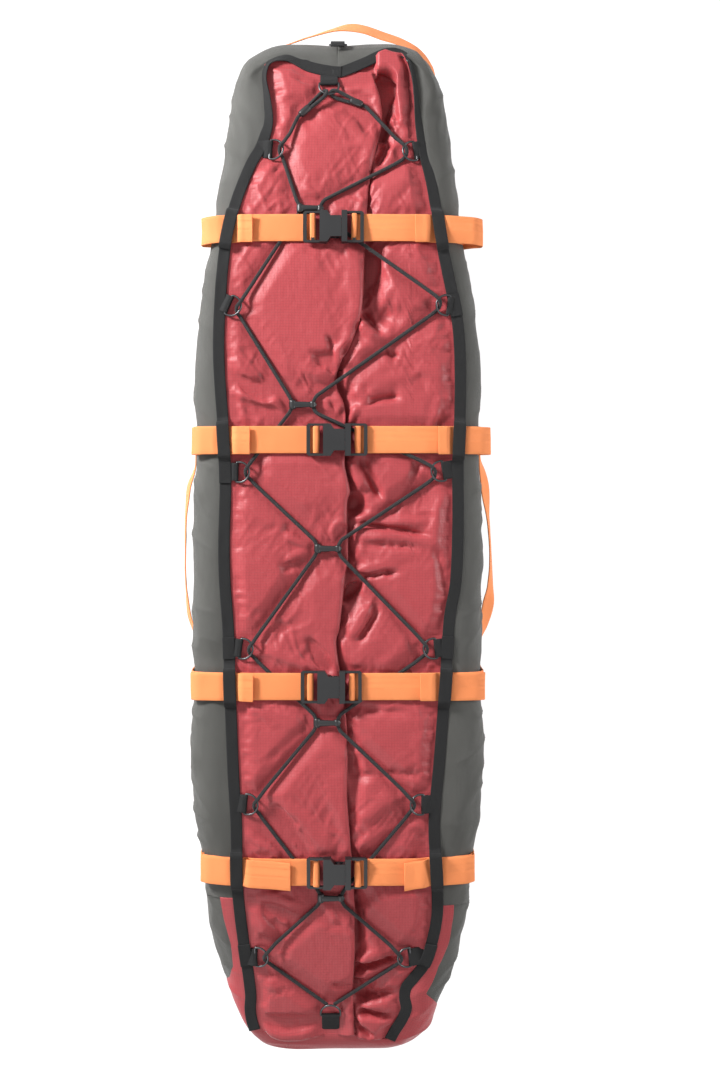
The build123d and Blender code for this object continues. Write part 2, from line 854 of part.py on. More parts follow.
# each level of the hull: height, then how far its plan is drawn in at the sides, bow, stern
side_top_z = hull_top_z - 18
hull_levels = [
    (hull_floor_z, 70.0, 205.0, 136.0),
    (hull_floor_z + 10, 50.0, 146.0, 96.0),
    (hull_floor_z + 46, 27.0, 66.0, 44.0),
    (side_top_z, hull_inset, hull_inset, hull_inset),
    (hull_top_z, hull_inset, hull_inset, hull_inset),
]


def hull_body(drawn_in):
    """Solid body of the hull, every side drawn in by a distance and its floor raised."""
    with BuildPart() as body:
        for z, side, bow, stern in hull_levels:
            lift = drawn_in * (side_top_z - z) / (side_top_z - hull_floor_z)
            with BuildSketch(Plane.XY.offset(z + max(lift, 0))):
                with BuildLine():
                    plan_line(side + drawn_in, bow + drawn_in, stern + drawn_in)
                make_face()
        loft(ruled=True)
    return body.part


with BuildPart() as hull_shell:
    add(hull_body(0))
    add(hull_body(hull_wall), mode=Mode.SUBTRACT)
save(hull_shell, "hull_shell")

strip_inside = hull_inset + hull_wall + air
with BuildPart() as rim_strip:
    for low, high, near, away in (
        (hull_top_z - strip_depth, rim_z, air, air + strip_wall),
        (hull_top_z - strip_depth, rim_z, strip_inside, strip_inside + strip_wall),
        (hull_top_z + air, rim_z, air, strip_inside + strip_wall),
    ):
        with BuildSketch(Plane.XY.offset(low)):
            with BuildLine():
                plan_line(near, near, near)
            make_face()
            with BuildLine():
                plan_line(away, away, away)
            make_face(mode=Mode.SUBTRACT)
        extrude(amount=high - low)
save(rim_strip, "rim_strip")

runner_width = 22.0
runner_spread = 84.0
runner_tip = 45.0           # length of the slope at the front of a runner
runner_tail = 30.0
for name, x, front, rear in (
    ("runner_left", runner_spread, body_front + 292, body_rear - 222),
    ("runner_centre", 0.0, body_front + 237, body_rear - 157),
    ("runner_right", -runner_spread, body_front + 292, body_rear - 222),
):
    with BuildPart() as runner:
        with BuildSketch(Plane.YZ.offset(x)):
            with BuildLine():
                Polyline(
                    (front, hull_floor_z),
                    (front + runner_tip, 0),
                    (rear - runner_tail, 0),
                    (rear, hull_floor_z),
                    close=True,
                )
            make_face()
        extrude(amount=runner_width / 2, both=True)
        fillet(runner.faces().sort_by(Axis.Z)[0].edges().filter_by(Axis.Y), 3)
    save(runner, name)

# ------------------------------------------------------------------ towing gear

tow_x = 62.0
tow_z = 78.0
pin_y = body_front + 15
ear_gap = 16.0
ear_thick = 3.0
bail_wire = 6.0
bail_depth = 34.0           # from the pin to the bail's far side
bail_bow = 8.0              # how far the two lower corners are cut back
bail_ease = 2.4
bail_elbow = 2.6            # bend beside each ear
bore = bail_wire + 0.6
ear_round = 8.0
foot_width = 44.0           # plate against the hull
foot_height = 40.0
foot_corner = 6.0
foot_reach = 40.0
foot_gap = 12.0             # from the pin to the plate's front

hull_skin = hull_body(0)
for side, hand in ((1, "left"), (-1, "right")):
    x = side * tow_x
    with BuildPart() as tow_bracket:
        with BuildSketch(Plane.XZ.offset(-pin_y - foot_gap)):
            with Locations((x, tow_z)):
                RectangleRounded(foot_width, foot_height, foot_corner)
        extrude(amount=-foot_reach)
        with BuildSketch(Plane.YZ.offset(x)) as ears:
            with BuildLine():
                Polyline(
                    (pin_y, tow_z + ear_round),
                    (pin_y + foot_reach, tow_z + foot_height / 2 - foot_corner),
                    (pin_y + foot_reach, tow_z - foot_height / 2 + foot_corner),
                    (pin_y, tow_z - ear_round),
                    close=True,
                )
            make_face()
            with Locations((pin_y, tow_z)):
                Circle(ear_round)
        extrude(amount=ear_gap / 2 + ear_thick, both=True)
        with BuildSketch(Plane.YZ.offset(x)):
            with Locations((pin_y - 2 * ear_round, tow_z)):
                Rectangle(2 * (foot_gap + 2 * ear_round), 2 * foot_height)
        extrude(amount=ear_gap / 2, both=True, mode=Mode.SUBTRACT)
        with BuildSketch(Plane.YZ.offset(x)):
            with Locations((pin_y, tow_z)):
                Circle(bore / 2)
        extrude(amount=foot_width, both=True, mode=Mode.SUBTRACT)
        add(hull_skin, mode=Mode.SUBTRACT)
    save(tow_bracket, f"tow_bracket_{hand}")

    half = ear_gap / 2 + ear_thick + 1 + bail_wire / 2
    with BuildPart() as tow_bail:
        with BuildLine(Plane((x, pin_y, tow_z), x_dir=(1, 0, 0), z_dir=(0, -1, 0))) as loop:
            Polyline(
                (0, 0),
                (half - bail_elbow, 0),
                (half, -bail_elbow),
                (half, bail_bow - bail_depth),
                (half - bail_ease, bail_ease - bail_depth),
                (half - bail_bow, -bail_depth),
                (bail_bow - half, -bail_depth),
                (bail_ease - half, bail_ease - bail_depth),
                (-half, bail_bow - bail_depth),
                (-half, -bail_elbow),
                (bail_elbow - half, 0),
                close=True,
            )
        run = loop.wire()
        with BuildSketch(Plane(run @ 0, x_dir=(0, 0, 1), z_dir=run % 0)):
            RegularPolygon(bail_wire / 2, 12)
        sweep(path=run, transition=Transition.RIGHT)
    save(tow_bail, f"tow_bail_{hand}")

eye_z = 72.0
eye_y = body_rear - 14
eye_bore = 11.0
eye_round = 11.0
eye_thick = 6.0
eye_foot = 40.0
with BuildPart() as stern_eye:
    with BuildSketch(Plane.YZ):
        with Locations((eye_y, eye_z)):
            Circle(eye_round)
        with Locations((eye_y - eye_foot / 2, eye_z)):
            Rectangle(eye_foot, 2 * eye_round)
        with Locations((eye_y, eye_z)):
            Circle(eye_bore / 2, mode=Mode.SUBTRACT)
    extrude(amount=eye_thick / 2, both=True)
    with BuildSketch(Plane.XZ.offset(eye_round + 3 - eye_y)):
        with Locations((0, eye_z)):
            RectangleRounded(eye_foot, eye_foot, foot_corner)
    extrude(amount=30)
    add(hull_skin, mode=Mode.SUBTRACT)
save(stern_eye, "stern_eye")
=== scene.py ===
import math
import bpy
import numpy as np
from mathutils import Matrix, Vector


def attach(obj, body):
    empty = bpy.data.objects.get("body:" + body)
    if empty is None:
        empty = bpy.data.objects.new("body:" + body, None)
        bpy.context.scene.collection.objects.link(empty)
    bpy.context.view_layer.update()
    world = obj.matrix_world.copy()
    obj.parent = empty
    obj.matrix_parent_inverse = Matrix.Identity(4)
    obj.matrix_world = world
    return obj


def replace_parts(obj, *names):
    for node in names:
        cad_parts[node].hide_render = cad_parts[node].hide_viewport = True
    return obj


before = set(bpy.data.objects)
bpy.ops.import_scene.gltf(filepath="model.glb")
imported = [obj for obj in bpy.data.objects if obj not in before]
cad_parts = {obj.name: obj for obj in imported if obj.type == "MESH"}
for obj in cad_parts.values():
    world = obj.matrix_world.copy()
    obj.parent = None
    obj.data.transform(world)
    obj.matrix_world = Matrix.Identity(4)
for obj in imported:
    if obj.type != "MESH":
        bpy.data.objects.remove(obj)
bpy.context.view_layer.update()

# Pulk sled: the finish of its fabric cover, straps, lacing and hull.
# All sizes are in millimetres, in the sled's frame: +Z up, nose towards -Y, its left on +X.

MM = 0.001
HALVES = (1, -1)
SIDES = ((1, "left"), (-1, "right"))

# ---------------------------------------------------------------- form of the cover

NOSE_Y, NOSE_Z = -707.0, 196.0
BOW_Y, BOW_Z = -402.0, 250.0
STERN_Y, STERN_Z = 418.0, 252.0
TAIL_Y, TAIL_Z = 742.0, 182.0
HEM_Z = 126.0
SHOULDER_ROUND = 38.0

OUTLINE = [(136.5, NOSE_Y), (198.5, -272.0), (204.5, 348.0), (178.5, 578.0), (116.5, TAIL_Y)]
OUTLINE_ROUNDS = [95.5, 1200.0, 1500.0, 500.0, 79.0]

STRAP_Y = (-432.0, -137.0, 207.0, 466.0)
BUCKLE_X = (5.0, 0.0, 8.0, 0.0)
STRAP_HALF = 19.0
BUCKLE_LENGTH, BUCKLE_WIDTH = 86.0, 46.0    # across the sled and along it

# heights above the cover's base surface
FLAP_TOP = 3.5
CORD_LIFT = 8.0
STRAP_LIFT = 10.8
WEB = 1.8
CORD_RADIUS = 2.6
CORD_BEND = 14.0
UNDER_STRAP = 7.9           # highest place for the middle of a cord under a strap

# middle line of the black edge webbing on each half, from the nose to the tail
WEBBING_LEFT = [
    (-6, -661), (8, -662), (40, -669), (70, -683), (97, -677), (106, -655), (101, -617),
    (99, -585), (107, -553), (122, -525), (140, -478), (152, -432), (160, -380), (165, -300),
    (165, -240), (160, -165), (156, -80), (158, 0), (157, 60), (152, 130), (149, 227), (145, 330),
    (141, 400), (141, 466), (140, 500), (136, 545), (131, 590), (126, 630), (124, 655),
    (125, 675), (123, 692), (119, 707),
]
WEBBING_RIGHT = [
    (7, -661), (-8, -662), (-40, -676), (-72, -690), (-99, -684), (-109, -660), (-114, -624),
    (-117, -585), (-123, -540), (-132, -500), (-139, -460), (-146, -415), (-157, -360),
    (-168, -305), (-172, -250), (-172, -180), (-169, -100), (-169, -20), (-166, 60), (-157, 115),
    (-151, 207), (-143, 311), (-136, 395), (-139, 466), (-141, 505), (-140, 541), (-131, 585),
    (-122, 609), (-108, 628), (-98, 642), (-96, 657), (-98, 675), (-91, 693), (-82, 708),
    (-75, 722),
]
WEBBING = {1: WEBBING_LEFT, -1: WEBBING_RIGHT}
EDGE_BAND = 16.5
CORNER_X = 95               # the webbing has turned its nose corner past this half width,
CORNER_Y = -640             # and aft of this station

# free edge of the left flap, which lies over the right flap
FLAP_EDGE = [
    (-50, -668), (-61, -630), (-62, -590), (-46, -515), (-39, -417), (-35, -333), (-24, -291),
    (-3, -249), (1, -221), (-10, -193), (-11, -137), (-11, -109), (-18, -75), (-14, -53),
    (-15, 20), (-10, 59), (-4, 115), (1, 143), (-8, 207), (-15, 283), (-14, 350), (-17, 395),
    (-22, 466), (-24, 507), (-25, 580), (-22, 640), (-24, 700), (-24, 738),
]

# bar of each D-ring from the nose aft: distance from the middle on each half, station, and the
# angle by which the ring is pulled aft
RINGS = {
    1: [(95, -546, 4), (152, -326, 24), (141, -92, 2), (136, 154, 8), (129, 371, 6),
        (117, 594, 0)],
    -1: [(111, -544, 10), (157, -324, -8), (150, -94, 10), (139, 154, 6), (121, 372, 0),
         (104, 594, 6)],
}
RING_DEPTH, RING_HALF, RING_WIRE = 19.0, 14.0, 1.5
RING_BAR_LIFT = 6.8
RING_TILT = math.radians(14)
NOSE_RING = (12.0, -644.0)
TAIL_RING = (10.0, 684.0)
HOOKS = [(38, -460), (48, -186), (13, 15), (14, 258), (9, 505)]
HOOK_REACH = 14.0
SLEEVES = {1: (46, -602), -1: (-27, -614)}
LOOP_X, LOOP_Y = 7, 17.0    # where each cord loops on the nose ring, from the ring's bar


# ---------------------------------------------------------------- curves and fields


def smooth(t):
    """Cubic step: 0 below 0, 1 above 1, level at both ends."""
    t = np.clip(t, 0, 1)
    return t * t * (3 - 2 * t)


def unit(v):
    """Vectors of length one."""
    return v / np.maximum(np.linalg.norm(v, axis=-1, keepdims=True), 1e-9)


def soft_min(a, b, reach):
    """Smaller of two values, rounded where they are closer than reach."""
    near = np.clip(1 - np.abs(a - b) / reach, 0, 1)
    return np.minimum(a, b) - near * near * reach / 4


def heading(path):
    """Unit directions along a path, up to each side of every point."""
    return unit(np.gradient(path, axis=0))


def measure(points):
    """Distance run along a row of points up to each of them."""
    steps = np.linalg.norm(np.diff(points, axis=0), axis=1)
    return np.concatenate([[0.0], np.cumsum(steps)])


def evenly(points, count):
    """The same line with its points an equal distance apart."""
    run = measure(points)
    at = np.linspace(0, run[-1], count)
    return np.stack([np.interp(at, run, points[:, k]) for k in range(points.shape[1])], axis=1)


def through(points, count):
    """Catmull-Rom curve through the points: on each span a cubic whose end slopes are half the
    chord between the neighbours, then spaced evenly."""
    p = np.asarray(points, float)
    p = np.vstack([2 * p[0] - p[1], p, 2 * p[-1] - p[-2]])
    t = np.linspace(0, 1, 24, endpoint=False)[:, None, None]
    a, b, c, d = p[:-3], p[1:-2], p[2:-1], p[3:]
    curve = 0.5 * (2 * b + (c - a) * t + (2 * a - 5 * b + 4 * c - d) * t**2
                   + (3 * b - a - 3 * c + d) * t**3)
    curve = curve.transpose(1, 0, 2).reshape(-1, p.shape[1])
    return evenly(np.vstack([curve, p[-2]]), count)


def rounded(points, radii, count):
    """Straight runs joined by arcs that touch both runs, spaced evenly."""
    p = np.asarray(points, float)
    rows = [p[:1]]
    for before, here, after, limit in zip(p, p[1:], p[2:], radii):
        run_in, run_out = here - before, after - here
        length_in, length_out = np.linalg.norm(run_in), np.linalg.norm(run_out)
        run_in, run_out = run_in / length_in, run_out / length_out
        half = math.acos(float(np.clip(run_in @ run_out, -1, 1))) / 2
        if half < 1e-3:
            continue
        reach = min(limit * math.tan(half), 0.48 * min(length_in, length_out))
        t = np.linspace(0, 1, 13)[:, None]
        angle = 2 * half * t
        radius = reach / math.tan(half)
        inward = run_out - run_in * (run_in @ run_out)
        inward = inward / np.linalg.norm(inward)
        bend = run_in * np.sin(angle) + inward * (1 - np.cos(angle))
        rows.append(here - run_in * reach + radius * bend)
    rows.append(p[-1:])
    return evenly(np.vstack(rows), count)


def lattice_noise(x, y, seed):
    """Smooth noise between -1 and 1: random values on a unit lattice, blended by a cubic step."""
    table = np.random.default_rng(seed).uniform(-1, 1, (64, 64))
    i, j = np.floor(x).astype(int), np.floor(y).astype(int)
    u, v = smooth(x - i), smooth(y - j)
    i0, i1, j0, j1 = i % 64, (i + 1) % 64, j % 64, (j + 1) % 64
    low = table[i0, j0] * (1 - u) + table[i1, j0] * u
    high = table[i0, j1] * (1 - u) + table[i1, j1] * u
    return low * (1 - v) + high * v


def crown(y):
    """Height of the cover's top along its middle: the lowest of three slopes, with their meetings
    rounded."""
    bow = BOW_Z + (BOW_Z - NOSE_Z) / (BOW_Y - NOSE_Y) * (y - BOW_Y)
    top = BOW_Z + (STERN_Z - BOW_Z) / (STERN_Y - BOW_Y) * (y - BOW_Y)
    tail = STERN_Z + (TAIL_Z - STERN_Z) / (TAIL_Y - STERN_Y) * (y - STERN_Y)
    return soft_min(soft_min(bow, top, 13.8), tail, 17.2)


def crown_tilt(y):
    """Unit vector square to the cover's top, as its y and z parts."""
    slope = (crown(y + 1.0) - crown(y - 1.0)) / 2
    size = np.sqrt(1 + slope**2)
    return -slope / size, 1 / size


def seat(x, y, lift):
    """Points at a height above the base surface, measured square to it."""
    x, y, lift = np.broadcast_arrays(np.asarray(x, float), y, lift)
    ny, nz = crown_tilt(y)
    return np.stack([x, y + ny * lift, crown(y) + nz * lift], axis=-1)


def line_x(line, y):
    """x of a line at station y."""
    order = np.argsort(line[:, 1])
    return np.interp(y, line[order, 1], line[order, 0])


def profile(marks, radii, count):
    """Rounded line through marks that are given as a distance and a height."""
    return rounded(np.array([(x, 0, z) for x, z in marks]), radii, count)


def box_distance(x, y, half_x, half_y):
    """Distance in plan from a rectangle about the origin."""
    return np.hypot(np.maximum(np.abs(x) - half_x, 0), np.maximum(np.abs(y) - half_y, 0))


def segment_distance(x, y, start, end):
    """Distance from a straight piece, the share of its length at which the point lies, and how
    far the point is to its side."""
    dx, dy = end[0] - start[0], end[1] - start[1]
    size = dx * dx + dy * dy
    t = ((x - start[0]) * dx + (y - start[1]) * dy) / size
    across = ((x - start[0]) * dy - (y - start[1]) * dx) / math.sqrt(size)
    along = np.clip(t, 0, 1)
    away = np.hypot(x - start[0] - along * dx, y - start[1] - along * dy)
    return away, t, across


webbing_line = {side: through(WEBBING[side], 700) for side in HALVES}
flap_edge_line = through(FLAP_EDGE, 500)


def webbing_x(side, y):
    """Distance of the webbing's middle line from the sled's middle, aft of its nose corner."""
    line = webbing_line[side]
    aft = line[line[:, 1] > CORNER_Y]
    aft = aft[int(np.argmin(np.abs(aft[:, 1] - CORNER_Y - 10))):]
    return abs(float(line_x(aft, y)))


# ---------------------------------------------------------------- lacing


def ring_heading(side, angle):
    """Plan direction from a ring's bar to its round side."""
    turn = math.radians(angle)
    return -side * math.cos(turn), math.sin(turn)


def ring_wire(side, number):
    """Plan point on a side ring's wire where the cord pulls on it."""
    bar, y, angle = RINGS[side][number]
    ax, ay = ring_heading(side, angle)
    return np.array([side * bar + RING_DEPTH * ax, y + RING_DEPTH * ay])


def hook_hold(side, number):
    """Plan point inside a hook's end that holds this side's cord."""
    x, y = HOOKS[number]
    return np.array([x + side * HOOK_REACH, y])


def nose_loop(side):
    """Plan points of a cord's sleeve and of the wire that it loops on at the nose ring, and the
    direction from the wire to the sleeve."""
    sleeve = np.array(SLEEVES[side], float)
    wire = np.array([NOSE_RING[0] + side * LOOP_X, NOSE_RING[1] + LOOP_Y])
    return sleeve, wire, (sleeve - wire) / np.linalg.norm(sleeve - wire)


def lacing_points(side):
    """Turning points of one cord with their heights: from its loop on the nose ring, over the wire
    of each side ring and back under it, round the hooks and on to the tail ring."""
    sleeve, wire, run = nose_loop(side)
    over = np.array([-run[1], run[0]])
    marks = [
        (*(sleeve + 2.0 * over), 9.4),
        (*(wire + 4.4 * over + 5 * run), 12.5),
        (*(wire - 4.6 * run + 3.0 * over), 14.6),
        (*(wire - 5.0 * run - 3.0 * over), 8.2),
        (*(wire - 4.4 * over + 5 * run), 7.2),
        (*(sleeve - 1.6 * over), 8.0),
        (*(sleeve + 14 * run), 8.2),
    ]
    holds = [sleeve]
    for number in range(len(RINGS[side])):
        holds.append(ring_wire(side, number))
        if number < len(HOOKS):
            holds.append(hook_hold(side, number))
    tail = np.array([TAIL_RING[0] + side * 5.0, TAIL_RING[1] - 18.0])
    holds.append(tail)
    for number, (before, here, after) in enumerate(zip(holds, holds[1:], holds[2:])):
        toward, away = unit(before - here), unit(after - here)
        if number % 2 == 0:
            inward, along = unit(toward + away), unit(toward - away)
            on, off = here + 9.5 * along - 0.5 * inward, here - 9.5 * along - 0.5 * inward
            marks += [
                (*(on + 17 * unit(before - on)), 10.4), (*on, 15.0),
                (*(here + 4 * along - 5.5 * inward), 13.6),
                (*(here - 4 * along - 5.5 * inward), 8.6),
                (*off, 6.2), (*(off + 14 * unit(after - off)), 6.6),
            ]
        else:
            x, y = here
            marks += [(x + side * out, y + aft, CORD_LIFT)
                      for out, aft in ((5.0, -12), (0.8, -4), (0.8, 4), (5.0, 12))]
    marks.append((*tail, 8.0))
    return marks


def strap_away(y):
    """Distance along the sled from the middle of the nearest strap."""
    return np.min([np.abs(y - s) for s in STRAP_Y], axis=0)


def under_straps(y, lift):
    """A cord's height, kept below the straps where it passes under them."""
    most = UNDER_STRAP + 12 * np.clip((strap_away(y) - STRAP_HALF - 2) / 9, 0, 1)
    return np.minimum(lift, most)


def lacing_path(side):
    """Line of one cord: straight runs between its turning points, rounded there."""
    marks = np.array(lacing_points(side), float)
    line = rounded(marks, [CORD_BEND] * (len(marks) - 2), 1500)
    lift = under_straps(line[:, 1], line[:, 2])
    reach = 4
    ease = np.ones(2 * reach + 1) / (2 * reach + 1)
    lift = np.convolve(np.pad(lift, reach, mode="edge"), ease, "valid")
    return seat(line[:, 0], line[:, 1], lift)


cord_line = {side: lacing_path(side) for side in HALVES}

# ---------------------------------------------------------------- relief of the red flaps

# broad swells and hollows of each flap: middle, half width, half length, height
SWELLS = {
    1: [
        (80, -652, 24, 20, 9), (46, -556, 46, 50, 5), (10, -628, 20, 12, -4),
        (70, -318, 52, 80, 7), (-6, -262, 18, 16, -5), (92, -205, 40, 26, -3),
        (66, -78, 50, 48, 6), (104, 70, 34, 60, 5), (20, 104, 22, 34, 5), (60, 300, 60, 70, 5),
        (90, 400, 40, 30, -3), (26, 598, 46, 48, 9), (92, 600, 24, 40, -3), (74, 664, 38, 14, 6),
        (70, 689, 44, 8, -6), (70, 702, 50, 6, 3),
    ],
    -1: [
        (-68, -656, 13, 30, -17), (-64, -590, 10, 40, -9), (-90, -640, 12, 40, 12),
        (-92, -500, 34, 40, 4), (-48, -371, 15, 44, -13), (-64, -310, 22, 15, -8),
        (-116, -352, 34, 46, 6), (-48, -250, 22, 22, 6), (-78, -174, 44, 20, 7),
        (-26, -46, 15, 16, -13), (-84, -84, 24, 30, 5), (-112, 70, 36, 50, 6),
        (-24, 66, 12, 26, -8), (-84, 150, 40, 30, 4), (-70, 290, 44, 60, 5),
        (-26, 330, 12, 40, -6), (-88, 541, 42, 38, 7), (-33, 645, 20, 18, -9),
        (-30, 560, 9, 44, -6), (-60, 700, 26, 16, 5),
    ],
}

# folds of each flap: x and y of the start, x and y of the end, half width, height
FOLDS = {
    1: [
        (24, -648, 94, -674, 6, 5), (30, -640, 106, -662, 5, -5), (22, -638, 94, -651, 5, 4),
        (36, -632, 92, -627, 7, 4), (20, -628, 62, -600, 6, 3), (0, -656, -34, -668, 5, 5),
        (-6, -642, -44, -655, 5, -5), (-6, -636, -50, -630, 6, 4), (-2, -628, -40, -606, 6, 3),
        (16, -548, -48, -555, 5, 2.4), (48, -534, 18, -574, 7, 3.2), (90, -512, 56, -537, 5, -3),
        (84, -486, 52, -520, 6, 3), (48, -492, 28, -479, 5, 4), (-14, -590, -50, -540, 9, 3),
        (106, -590, 84, -560, 6, 4), (112, -556, 86, -572, 5, -3), (-20, -402, -22, -335, 9, 5),
        (-8, -244, 23, -280, 6, 8), (4, -250, 15, -282, 5, -8), (-17, -285, 1, -254, 5, 6),
        (-8, -231, 34, -258, 6, -5), (-2, -216, 44, -236, 7, 4), (156, -231, 90, -194, 8, -4),
        (146, -203, 76, -186, 6, 4), (152, -256, 116, -222, 8, 3.4), (90, -196, 70, -174, 5, 5),
        (128, -180, 84, -168, 6, -3), (20, -196, 0, -168, 6, 4), (12, -190, -8, -162, 5, -4),
        (120, -330, 146, -296, 9, 3), (34, -388, 70, -330, 12, 3), (68, -4, 34, 13, 6, 5),
        (74, -15, 40, 1, 6, -4), (68, 30, 36, 21, 6, 5), (78, 44, 42, 34, 6, -4),
        (0, -24, 3, 3, 5, 6), (-9, -18, -5, 8, 4, -5), (42, 46, 18, 98, 10, 6),
        (20, 96, 2, 122, 8, 5), (26, 140, -8, 182, 7, 7), (38, 142, 10, 184, 7, -6),
        (106, 152, 34, 184, 8, 4), (146, 34, 98, 66, 11, 4), (120, 100, 70, 130, 9, -3),
        (96, -120, 44, -104, 9, 4), (128, -50, 92, -20, 9, 3), (118, 236, 54, 262, 9, 4),
        (94, 310, 34, 252, 9, -4), (30, 300, -8, 262, 7, 4), (132, 330, 70, 352, 9, 4),
        (70, 372, 16, 430, 8, 5), (90, 386, 40, 440, 7, -4), (10, 330, -8, 400, 8, 4),
        (128, 420, 80, 440, 8, 3), (108, 502, 34, 534, 8, 6), (102, 514, 46, 542, 7, -6),
        (130, 524, 84, 570, 8, 5), (16, 512, 4, 540, 5, 4), (60, 560, 20, 545, 6, 3),
        (104, 640, 60, 626, 8, 4), (-20, 640, 10, 634, 5, -6), (-18, 652, 24, 655, 6, 5),
        (112, 676, 46, 672, 6, 5), (116, 688, 26, 682, 5, -3), (112, 699, 40, 699, 5, 5),
        (60, 650, 24, 668, 6, 4),
    ],
    -1: [
        (-82, -657, -98, -604, 4, 6), (-75, -650, -84, -584, 5, -6), (-62, -596, -94, -584, 5, 4),
        (-70, -690, -92, -640, 5, 5), (-100, -640, -108, -600, 4, -4),
        (-62, -562, -48, -538, 6, 5), (-72, -556, -58, -528, 5, -5), (-41, -480, -60, -506, 6, 4),
        (-110, -479, -130, -490, 5, 3), (-100, -570, -72, -526, 7, 3),
        (-84, -470, -110, -500, 7, -3), (-24, -308, -62, -272, 6, 8),
        (-62, -272, -90, -279, 6, 7), (-36, -313, -60, -286, 5, -6),
        (-66, -262, -84, -252, 6, -5), (-96, -282, -112, -284, 5, 4),
        (-42, -189, -84, -196, 6, -6), (-27, -206, -43, -188, 5, 6), (-27, -182, -16, -159, 5, 6),
        (-164, -217, -134, -159, 6, 5), (-153, -204, -141, -159, 5, -5),
        (-146, -267, -166, -284, 5, 3), (-100, -226, -50, -214, 8, 3),
        (-120, -240, -150, -222, 7, 3), (-70, -400, -92, -340, 9, 4),
        (-120, -396, -140, -350, 8, -3), (-35, -108, -59, -58, 8, -7),
        (-98, -100, -72, -57, 10, 7), (-16, -103, -36, -69, 8, 5), (-118, -108, -92, -66, 7, -4),
        (-35, -19, -124, -3, 5, -6), (-30, -28, -116, -22, 6, 6), (-35, -6, -130, 3, 6, 6),
        (-40, 10, -110, 14, 6, -3), (-24, 48, -62, 42, 6, 6), (-62, 42, -90, 24, 6, 6),
        (-90, 24, -106, 24, 6, 5), (-30, 57, -68, 48, 5, -6), (-68, 48, -88, 51, 5, -5),
        (-83, 57, -112, 59, 7, 5), (-8, 86, -28, 63, 6, -8), (-22, 134, -44, 98, 7, 6),
        (-32, 142, -57, 98, 6, -5), (-138, 98, -128, 122, 5, 4), (-22, 175, -52, 146, 6, 5),
        (-64, 182, -96, 150, 7, 4), (-150, -60, -134, 0, 7, 4), (-140, 20, -152, 80, 7, -4),
        (-100, 90, -120, 130, 7, 4), (-30, 236, -96, 246, 8, -4), (-32, 300, -82, 268, 8, 5),
        (-28, 332, -110, 330, 8, -4), (-35, 392, -92, 350, 8, 5), (-30, 430, -100, 402, 7, 4),
        (-112, 280, -130, 340, 7, 4), (-30, 600, -77, 585, 7, 7), (-24, 616, -84, 596, 7, -10),
        (-27, 630, -80, 607, 7, 6), (-50, 520, -110, 505, 7, 4), (-104, 560, -122, 520, 7, -4),
        (-30, 660, -84, 648, 6, -7), (-35, 667, -84, 664, 6, 6), (-35, 678, -81, 687, 5, -9),
        (-30, 689, -74, 705, 6, 7), (-24, 691, -52, 714, 5, -7), (-90, 620, -104, 580, 7, 4),
    ],
}

# depth of the hollow along the seam on the right flap, by station
HOLLOW = [
    (-690, 8), (-640, 16), (-590, 14), (-520, 6), (-450, 8), (-400, 15), (-330, 17), (-300, 6),
    (-270, 10), (-230, 14), (-180, 10), (-110, 12), (-70, 16), (-30, 8), (20, 13), (60, 14),
    (90, 10), (150, 6), (230, 10), (300, 9), (380, 8), (440, 6), (520, 12), (600, 8), (740, 4),
]

# front edge of the right flap where it is drawn over the nose webbing: x, y, height
EAR = [(-6, -655, 3), (-24, -662, 6), (-43, -676, 11), (-58, -688, 17), (-68, -692, 19),
       (-80, -688, 15), (-91, -686, 16), (-99, -674, 9), (-106, -652, 3)]
SEWN = 8.4                  # width of the flaps that lies sewn under the edge webbing
LOW_SIDE = -17.0            # how far the fabric may sink below the base surface


def cord_away(x, y):
    """Distance in plan from the nearest cord."""
    away = np.full(x.shape, 999.0)
    for side in HALVES:
        marks = lacing_points(side)
        for start, end in zip(marks, marks[1:]):
            away = np.minimum(away, segment_distance(x, y, start[:2], end[:2])[0])
    return away


def sink(top, away, reach, depth=9.0):
    """Height of fabric that something presses down to top, rising again away from it."""
    return top + depth * (1 - np.exp(-((np.maximum(away, 0) / reach) ** 1.5)))


def fabric_ceiling(x, y):
    """Highest place for the fabric: under the cords, straps, buckles, rings, hooks and webbing."""
    top = sink(CORD_LIFT - CORD_RADIUS - 1.0, cord_away(x, y) - 1.5, 24, 13.0)
    for station, middle in zip(STRAP_Y, BUCKLE_X):
        for side in HALVES:
            web_x = webbing_x(side, station)
            strap_low = np.interp(side * x, [0, web_x - 30, web_x - 12],
                                  [STRAP_LIFT - 1.4, STRAP_LIFT - 2.6, 3.2])
            one = sink(strap_low, np.abs(y - station) - STRAP_HALF - 1, 20, 9.0)
            top = np.where(side * x >= 0, np.minimum(top, one), top)
        past = box_distance(x - middle, y - station, BUCKLE_LENGTH / 2, BUCKLE_WIDTH / 2)
        top = np.minimum(top, sink(9.4, past, 14))
    for side in HALVES:
        for bar, ring_y, angle in RINGS[side]:
            ax, ay = ring_heading(side, angle)
            sewn = (side * webbing_x(side, ring_y), ring_y)
            away = segment_distance(x, y, sewn, (side * bar + 12 * ax, ring_y + 12 * ay))[0]
            top = np.minimum(top, sink(3.6, away - 14, 12))
    for hook_x, hook_y in HOOKS:
        past = box_distance(x - hook_x, y - hook_y, HOOK_REACH + 3, 4)
        top = np.minimum(top, sink(3.4, past - 1, 16))
    for ring_x, ring_y, aft in ((*NOSE_RING, -1), (*TAIL_RING, 1)):
        sewn, round_side = (ring_x, ring_y + 14 * aft), (ring_x, ring_y - 12 * aft)
        away = segment_distance(x, y, sewn, round_side)[0]
        top = np.minimum(top, sink(3.6, away - 13, 14))
    for side in HALVES:
        past = np.hypot(x - SLEEVES[side][0], y - SLEEVES[side][1])
        top = np.minimum(top, sink(3.2, past - 10, 14))
    return top


